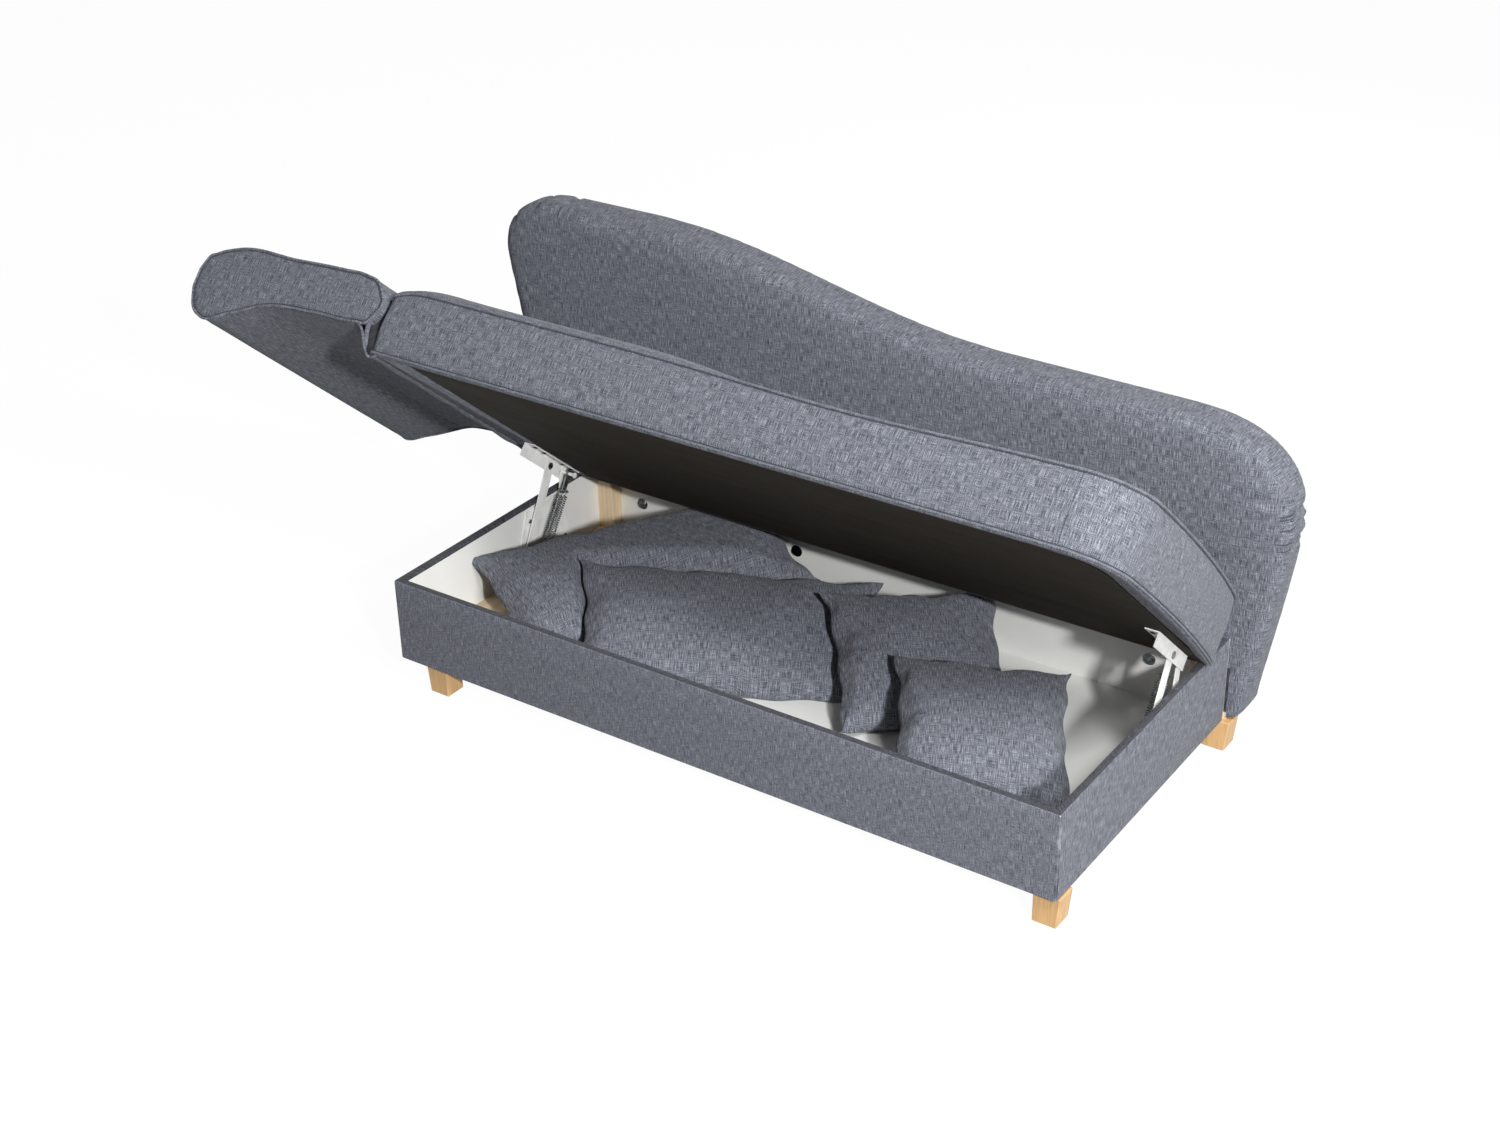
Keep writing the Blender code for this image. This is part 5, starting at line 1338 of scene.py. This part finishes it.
class RECAMIER_OT_cushions(bpy.types.Operator):
    """Four loose cushions in the box, each pressed in by those that lie on it."""

    bl_idname = "recamier.cushions"
    bl_label = "Loose cushions"

    def execute(self, context):
        names = list(CUSHIONS)
        for number, name in enumerate(names):
            width, depth, thickness, *pose = CUSHIONS[name]
            origin, spin = cushion_pose(*pose)
            points, faces = cushion_form(width, depth, thickness, 1.0 + number)
            piece = make_piece(name + "_cover", points, faces, "fabric", "slate_fabric", points[:, :2])
            swell(piece, np.zeros(len(points), dtype=bool), 3.0, 0.008, 0.03)
            points, _ = read_mesh(piece.data)
            world = origin + points @ spin.T
            for above in names[number + 1:]:
                world = self.pressed(world, *CUSHIONS[above])
            set_points(piece, self.kept_in(world))
            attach(piece, "base")
            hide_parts(name)
        return {"FINISHED"}

    def pressed(self, world, width, depth, thickness, *pose):
        """Points of a cushion pressed down where another one lies on it or just beside."""
        origin, spin = cushion_pose(*pose)
        own = (world - origin) @ spin
        limit, beyond = cushion_under(width, depth, thickness, own[:, 0], own[:, 1])
        own[:, 2] = np.where(beyond < CUSHION_PRESS, np.minimum(own[:, 2], limit), own[:, 2])
        return origin + own @ spin.T

    def kept_in(self, world):
        """Points kept inside the box and below its rim, which they near by a hyperbolic tangent."""
        kept = world.copy()
        kept[:, 0] = np.clip(kept[:, 0], LEFT + PANEL + 0.001, RIGHT - PANEL - 0.001)
        kept[:, 1] = np.clip(kept[:, 1], FRONT + PANEL + 0.001, BACK - PANEL - 0.001)
        kept[:, 2] = np.maximum(kept[:, 2], FLOOR + 0.0006)
        over = np.maximum(kept[:, 2] - (RIM - CUSHION_TOP - CUSHION_ROOM), 0.0)
        kept[:, 2] += CUSHION_ROOM * np.tanh(over / CUSHION_ROOM) - over
        return kept


# Lift fittings


class RECAMIER_OT_fittings(bpy.types.Operator):
    """Tight tension springs, rivets and screws of the two lift fittings."""

    bl_idname = "recamier.fittings"
    bl_label = "Lift fittings"

    def execute(self, context):
        for side in ("left", "right"):
            inward = 1.0 if side == "left" else -1.0
            for kind in ("outer", "inner"):
                self.spring("spring_%s_%s" % (kind, side), "spring_hook_" + side, "rear_link_" + side)
            self.details(side, inward)
            finish_node("white_steel", "base_plate_" + side, "front_link_" + side, "rear_link_" + side,
                        "top_bracket_" + side)
            finish_node("zinc", "link_pin_" + side, "spring_hook_" + side)
        return {"FINISHED"}

    def spring(self, node, hook, link):
        """Tension spring: a helix that eases to its axis at both ends, each with a ring round its bar."""
        size = sizes()
        low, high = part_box(node)
        x = (low.x + high.x) / 2.0
        hook_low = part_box(hook)[0]
        anchor = np.array([x, *SPRING_ANCHOR])
        bar = np.array([x, hook_low.y + HOOK_BAR_IN, hook_low.z + HOOK_BAR_IN])
        pull = bar - anchor
        reach = np.linalg.norm(pull)
        ahead = pull / reach
        upright = np.cross(ahead, LENGTHWISE)
        curl = np.linspace(0.0, size.spring_curls, size.spring_curls * 14 + 1)
        ease = np.clip(np.minimum(curl, size.spring_curls - curl) / 0.8, 0.0, 1.0)
        radius = (SPRING_RADIUS * eased(ease))[:, None]
        along = SPRING_TAIL + (reach - 2.0 * SPRING_TAIL) * curl / size.spring_curls
        angle = 2.0 * np.pi * curl[:, None]
        coil = anchor + along[:, None] * ahead
        coil = coil + radius * (np.cos(angle) * LENGTHWISE + np.sin(angle) * upright)
        rings = []
        for centre, first, last in ((anchor, 300.0, 20.0), (bar, 160.0, -120.0)):
            turn = np.radians(np.linspace(first, last, 14))[:, None]
            rings.append(centre + SPRING_RING * (np.cos(turn) * ahead + np.sin(turn) * upright))
        path = evenly(np.vstack([rings[0], coil, rings[1]]), 0.0030, closed=False)
        guide = path - (anchor + ((path - anchor) @ ahead)[:, None] * ahead) + 0.004 * LENGTHWISE
        guide = np.cross(np.gradient(path, axis=0), guide)
        points, faces, _ = tube(path, size.spring_wire, guide, closed=False, sides=6)
        piece = make_piece(node + "_coil", points, faces, "spring_steel", "zinc_steel")
        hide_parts(node)
        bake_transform(piece)

    def details(self, side, inward):
        """Rivets in the link pin, screws through the bracket's flange and screws in the base plate."""
        low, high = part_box("link_pin_" + side)
        face = high.x if side == "left" else low.x
        centre = np.array([face, (low.y + high.y) / 2.0, (low.z + high.z) / 2.0])
        toward = (inward, 0.0, 0.0)
        rivets = [turned(RIVET, centre + SEAT_BACKWARD * shift, toward, 14) for shift in (-0.0044, 0.0044)]
        piece = make_joined("pin_rivets_" + side, rivets, "black_steel", "zinc_steel")
        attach(piece, "lid")

        low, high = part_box("top_bracket_" + side)
        flange = (low.x + high.x) / 2.0 + inward * 0.004 - SEAT_ORIGIN[0]
        places = placed(SEAT_FRAME, np.array([[flange, -along, -STEEL_SHEET] for along in BRACKET_SCREWS]))
        screws = [turned(SCREW_HEAD, place, -SEAT_UPWARD, 16) for place in places]
        piece = make_joined("bracket_screws_" + side, screws, "black_steel", "zinc_steel")
        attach(piece, "lid")

        face = LEFT + PANEL + STEEL_SHEET if side == "left" else RIGHT - PANEL - STEEL_SHEET
        screws = [turned(SCREW_HEAD, (face, *place), toward, 16) for place in PLATE_SCREWS]
        piece = make_joined("plate_screws_" + side, screws, "zinc", "zinc_steel")
        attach(piece, "base")


# Stage


def seen_directly(tree):
    """1 for rays from the eye, straight, mirrored or through glass, and 0 for those that only carry light."""
    path = add_node(tree, "ShaderNodeLightPath", {})
    seen = added(tree, path.outputs["Is Camera Ray"], path.outputs["Is Glossy Ray"])
    links = {0: seen, 1: path.outputs["Is Transmission Ray"]}
    return add_node(tree, "ShaderNodeMath", links, operation="ADD", use_clamp=True).outputs[0]


class RECAMIER_OT_stage(bpy.types.Operator):
    """Pale floor, soft studio light and the photograph's camera."""

    bl_idname = "recamier.stage"
    bl_label = "Stage"

    def execute(self, context):
        scene = context.scene
        scene.view_settings.view_transform = "Standard"
        self.floor()
        self.world(scene)
        for name, lamp in LAMPS.items():
            self.lamp(name, *lamp)
        self.camera(scene)
        return {"FINISHED"}

    def camera(self, scene):
        """The photograph's camera, from its eye and its right and forward directions."""
        camera = bpy.data.cameras.new("photo_camera")
        camera.lens = CAMERA_LENS
        camera.sensor_width = CAMERA_SENSOR
        camera.sensor_fit = "HORIZONTAL"
        camera.clip_end = 100.0
        view = bpy.data.objects.new("photo_camera", camera)
        right = Vector(CAMERA_RIGHT).normalized()
        back = -Vector(CAMERA_FORWARD).normalized()
        up = back.cross(right)
        turn = Matrix((right, up, back)).transposed().to_4x4()
        view.matrix_world = Matrix.Translation(CAMERA_EYE) @ turn
        scene.collection.objects.link(view)
        scene.camera = view

    def floor(self):
        """A round pale floor: rings of points about the middle; to the eye it is partly its own light."""
        reach = np.array([0.01, 1.0, 2.0, 4.0, 8.0, 16.0])
        angle = np.linspace(0.0, 2.0 * np.pi, 48, endpoint=False)
        points = np.stack([reach[:, None] * np.cos(angle), reach[:, None] * np.sin(angle),
                           np.zeros((len(reach), len(angle)))], axis=-1).reshape(-1, 3)
        faces = grid_faces(len(reach), len(angle), close_columns=True)[:, ::-1].tolist()
        faces.append(list(range(len(angle))))
        mesh = bpy.data.meshes.new("floor")
        mesh.from_pydata(points.tolist(), [], faces)
        material = bpy.data.materials.new("pale_floor")
        material.use_nodes = True
        tree = material.node_tree
        tree.nodes.clear()
        links = {0: seen_directly(tree), 1: 0.86}
        share = add_node(tree, "ShaderNodeMath", links, operation="MULTIPLY").outputs[0]
        matt = add_node(tree, "ShaderNodeBsdfDiffuse", {"Color": (*linear("#A4A4A4"), 1.0)}).outputs[0]
        white = (1.0, 1.0, 1.0, 1.0)
        light = add_node(tree, "ShaderNodeEmission", {"Color": white, "Strength": 1.12}).outputs[0]
        mixed = add_node(tree, "ShaderNodeMixShader", {0: share, 1: matt, 2: light})
        add_node(tree, "ShaderNodeOutputMaterial", {"Surface": mixed.outputs[0]})
        mesh.materials.append(material)
        floor = bpy.data.objects.new("floor", mesh)
        bpy.context.scene.collection.objects.link(floor)

    def world(self, scene):
        """Even soft light from all round; the eye and reflections see it white."""
        world = bpy.data.worlds.new("studio")
        world.use_nodes = True
        scene.world = world
        tree = world.node_tree
        tree.nodes.clear()
        white = (1.0, 1.0, 1.0, 1.0)
        soft = add_node(tree, "ShaderNodeBackground", {"Color": white, "Strength": 0.20}).outputs[0]
        bright = add_node(tree, "ShaderNodeBackground", {"Color": white, "Strength": 1.0}).outputs[0]
        mixed = add_node(tree, "ShaderNodeMixShader", {0: seen_directly(tree), 1: soft, 2: bright})
        add_node(tree, "ShaderNodeOutputWorld", {"Surface": mixed.outputs[0]})

    def lamp(self, name, place, size, power):
        """A square area lamp that looks at the middle of the object."""
        light = bpy.data.lights.new(name, "AREA")
        light.size = size
        light.energy = power
        lamp = bpy.data.objects.new(name, light)
        aim = Vector(LAMP_AIM) - Vector(place)
        lamp.matrix_world = Matrix.Translation(place) @ aim.to_track_quat("-Z", "Y").to_matrix().to_4x4()
        bpy.context.scene.collection.objects.link(lamp)


class RECAMIER_PT_panel(bpy.types.Panel):
    """Sidebar list of the recamier's pieces, sizes and colours."""

    bl_idname = "RECAMIER_PT_panel"
    bl_label = "Recamier"
    bl_space_type = "VIEW_3D"
    bl_region_type = "UI"
    bl_category = "Recamier"

    def draw(self, context):
        for operator in OPERATORS:
            self.layout.operator(operator.bl_idname)
        for group in (context.scene.recamier_sizes, context.scene.recamier_colours):
            for name in group.bl_rna.properties.keys():
                if name not in ("rna_type", "name"):
                    self.layout.prop(group, name)


OPERATORS = (RECAMIER_OT_stage, RECAMIER_OT_box, RECAMIER_OT_backrest, RECAMIER_OT_seat, RECAMIER_OT_headrest,
             RECAMIER_OT_cushions, RECAMIER_OT_fittings)
CLASSES = (RecamierSizes, RecamierColours, *OPERATORS, RECAMIER_PT_panel)


def register():
    """Register the classes and hang the sizes and colours on the scene."""
    for item in CLASSES:
        bpy.utils.register_class(item)
    bpy.types.Scene.recamier_sizes = bpy.props.PointerProperty(type=RecamierSizes)
    bpy.types.Scene.recamier_colours = bpy.props.PointerProperty(type=RecamierColours)


def unregister():
    """Take the sizes, colours and classes away again."""
    del bpy.types.Scene.recamier_colours
    del bpy.types.Scene.recamier_sizes
    for item in reversed(CLASSES):
        bpy.utils.unregister_class(item)


def main():
    register()
    make_finishes()
    bpy.ops.recamier.stage()
    bpy.ops.recamier.box()
    bpy.ops.recamier.backrest()
    bpy.ops.recamier.seat()
    bpy.ops.recamier.headrest()
    bpy.ops.recamier.cushions()
    bpy.ops.recamier.fittings()


if __name__ == "__main__":
    main()
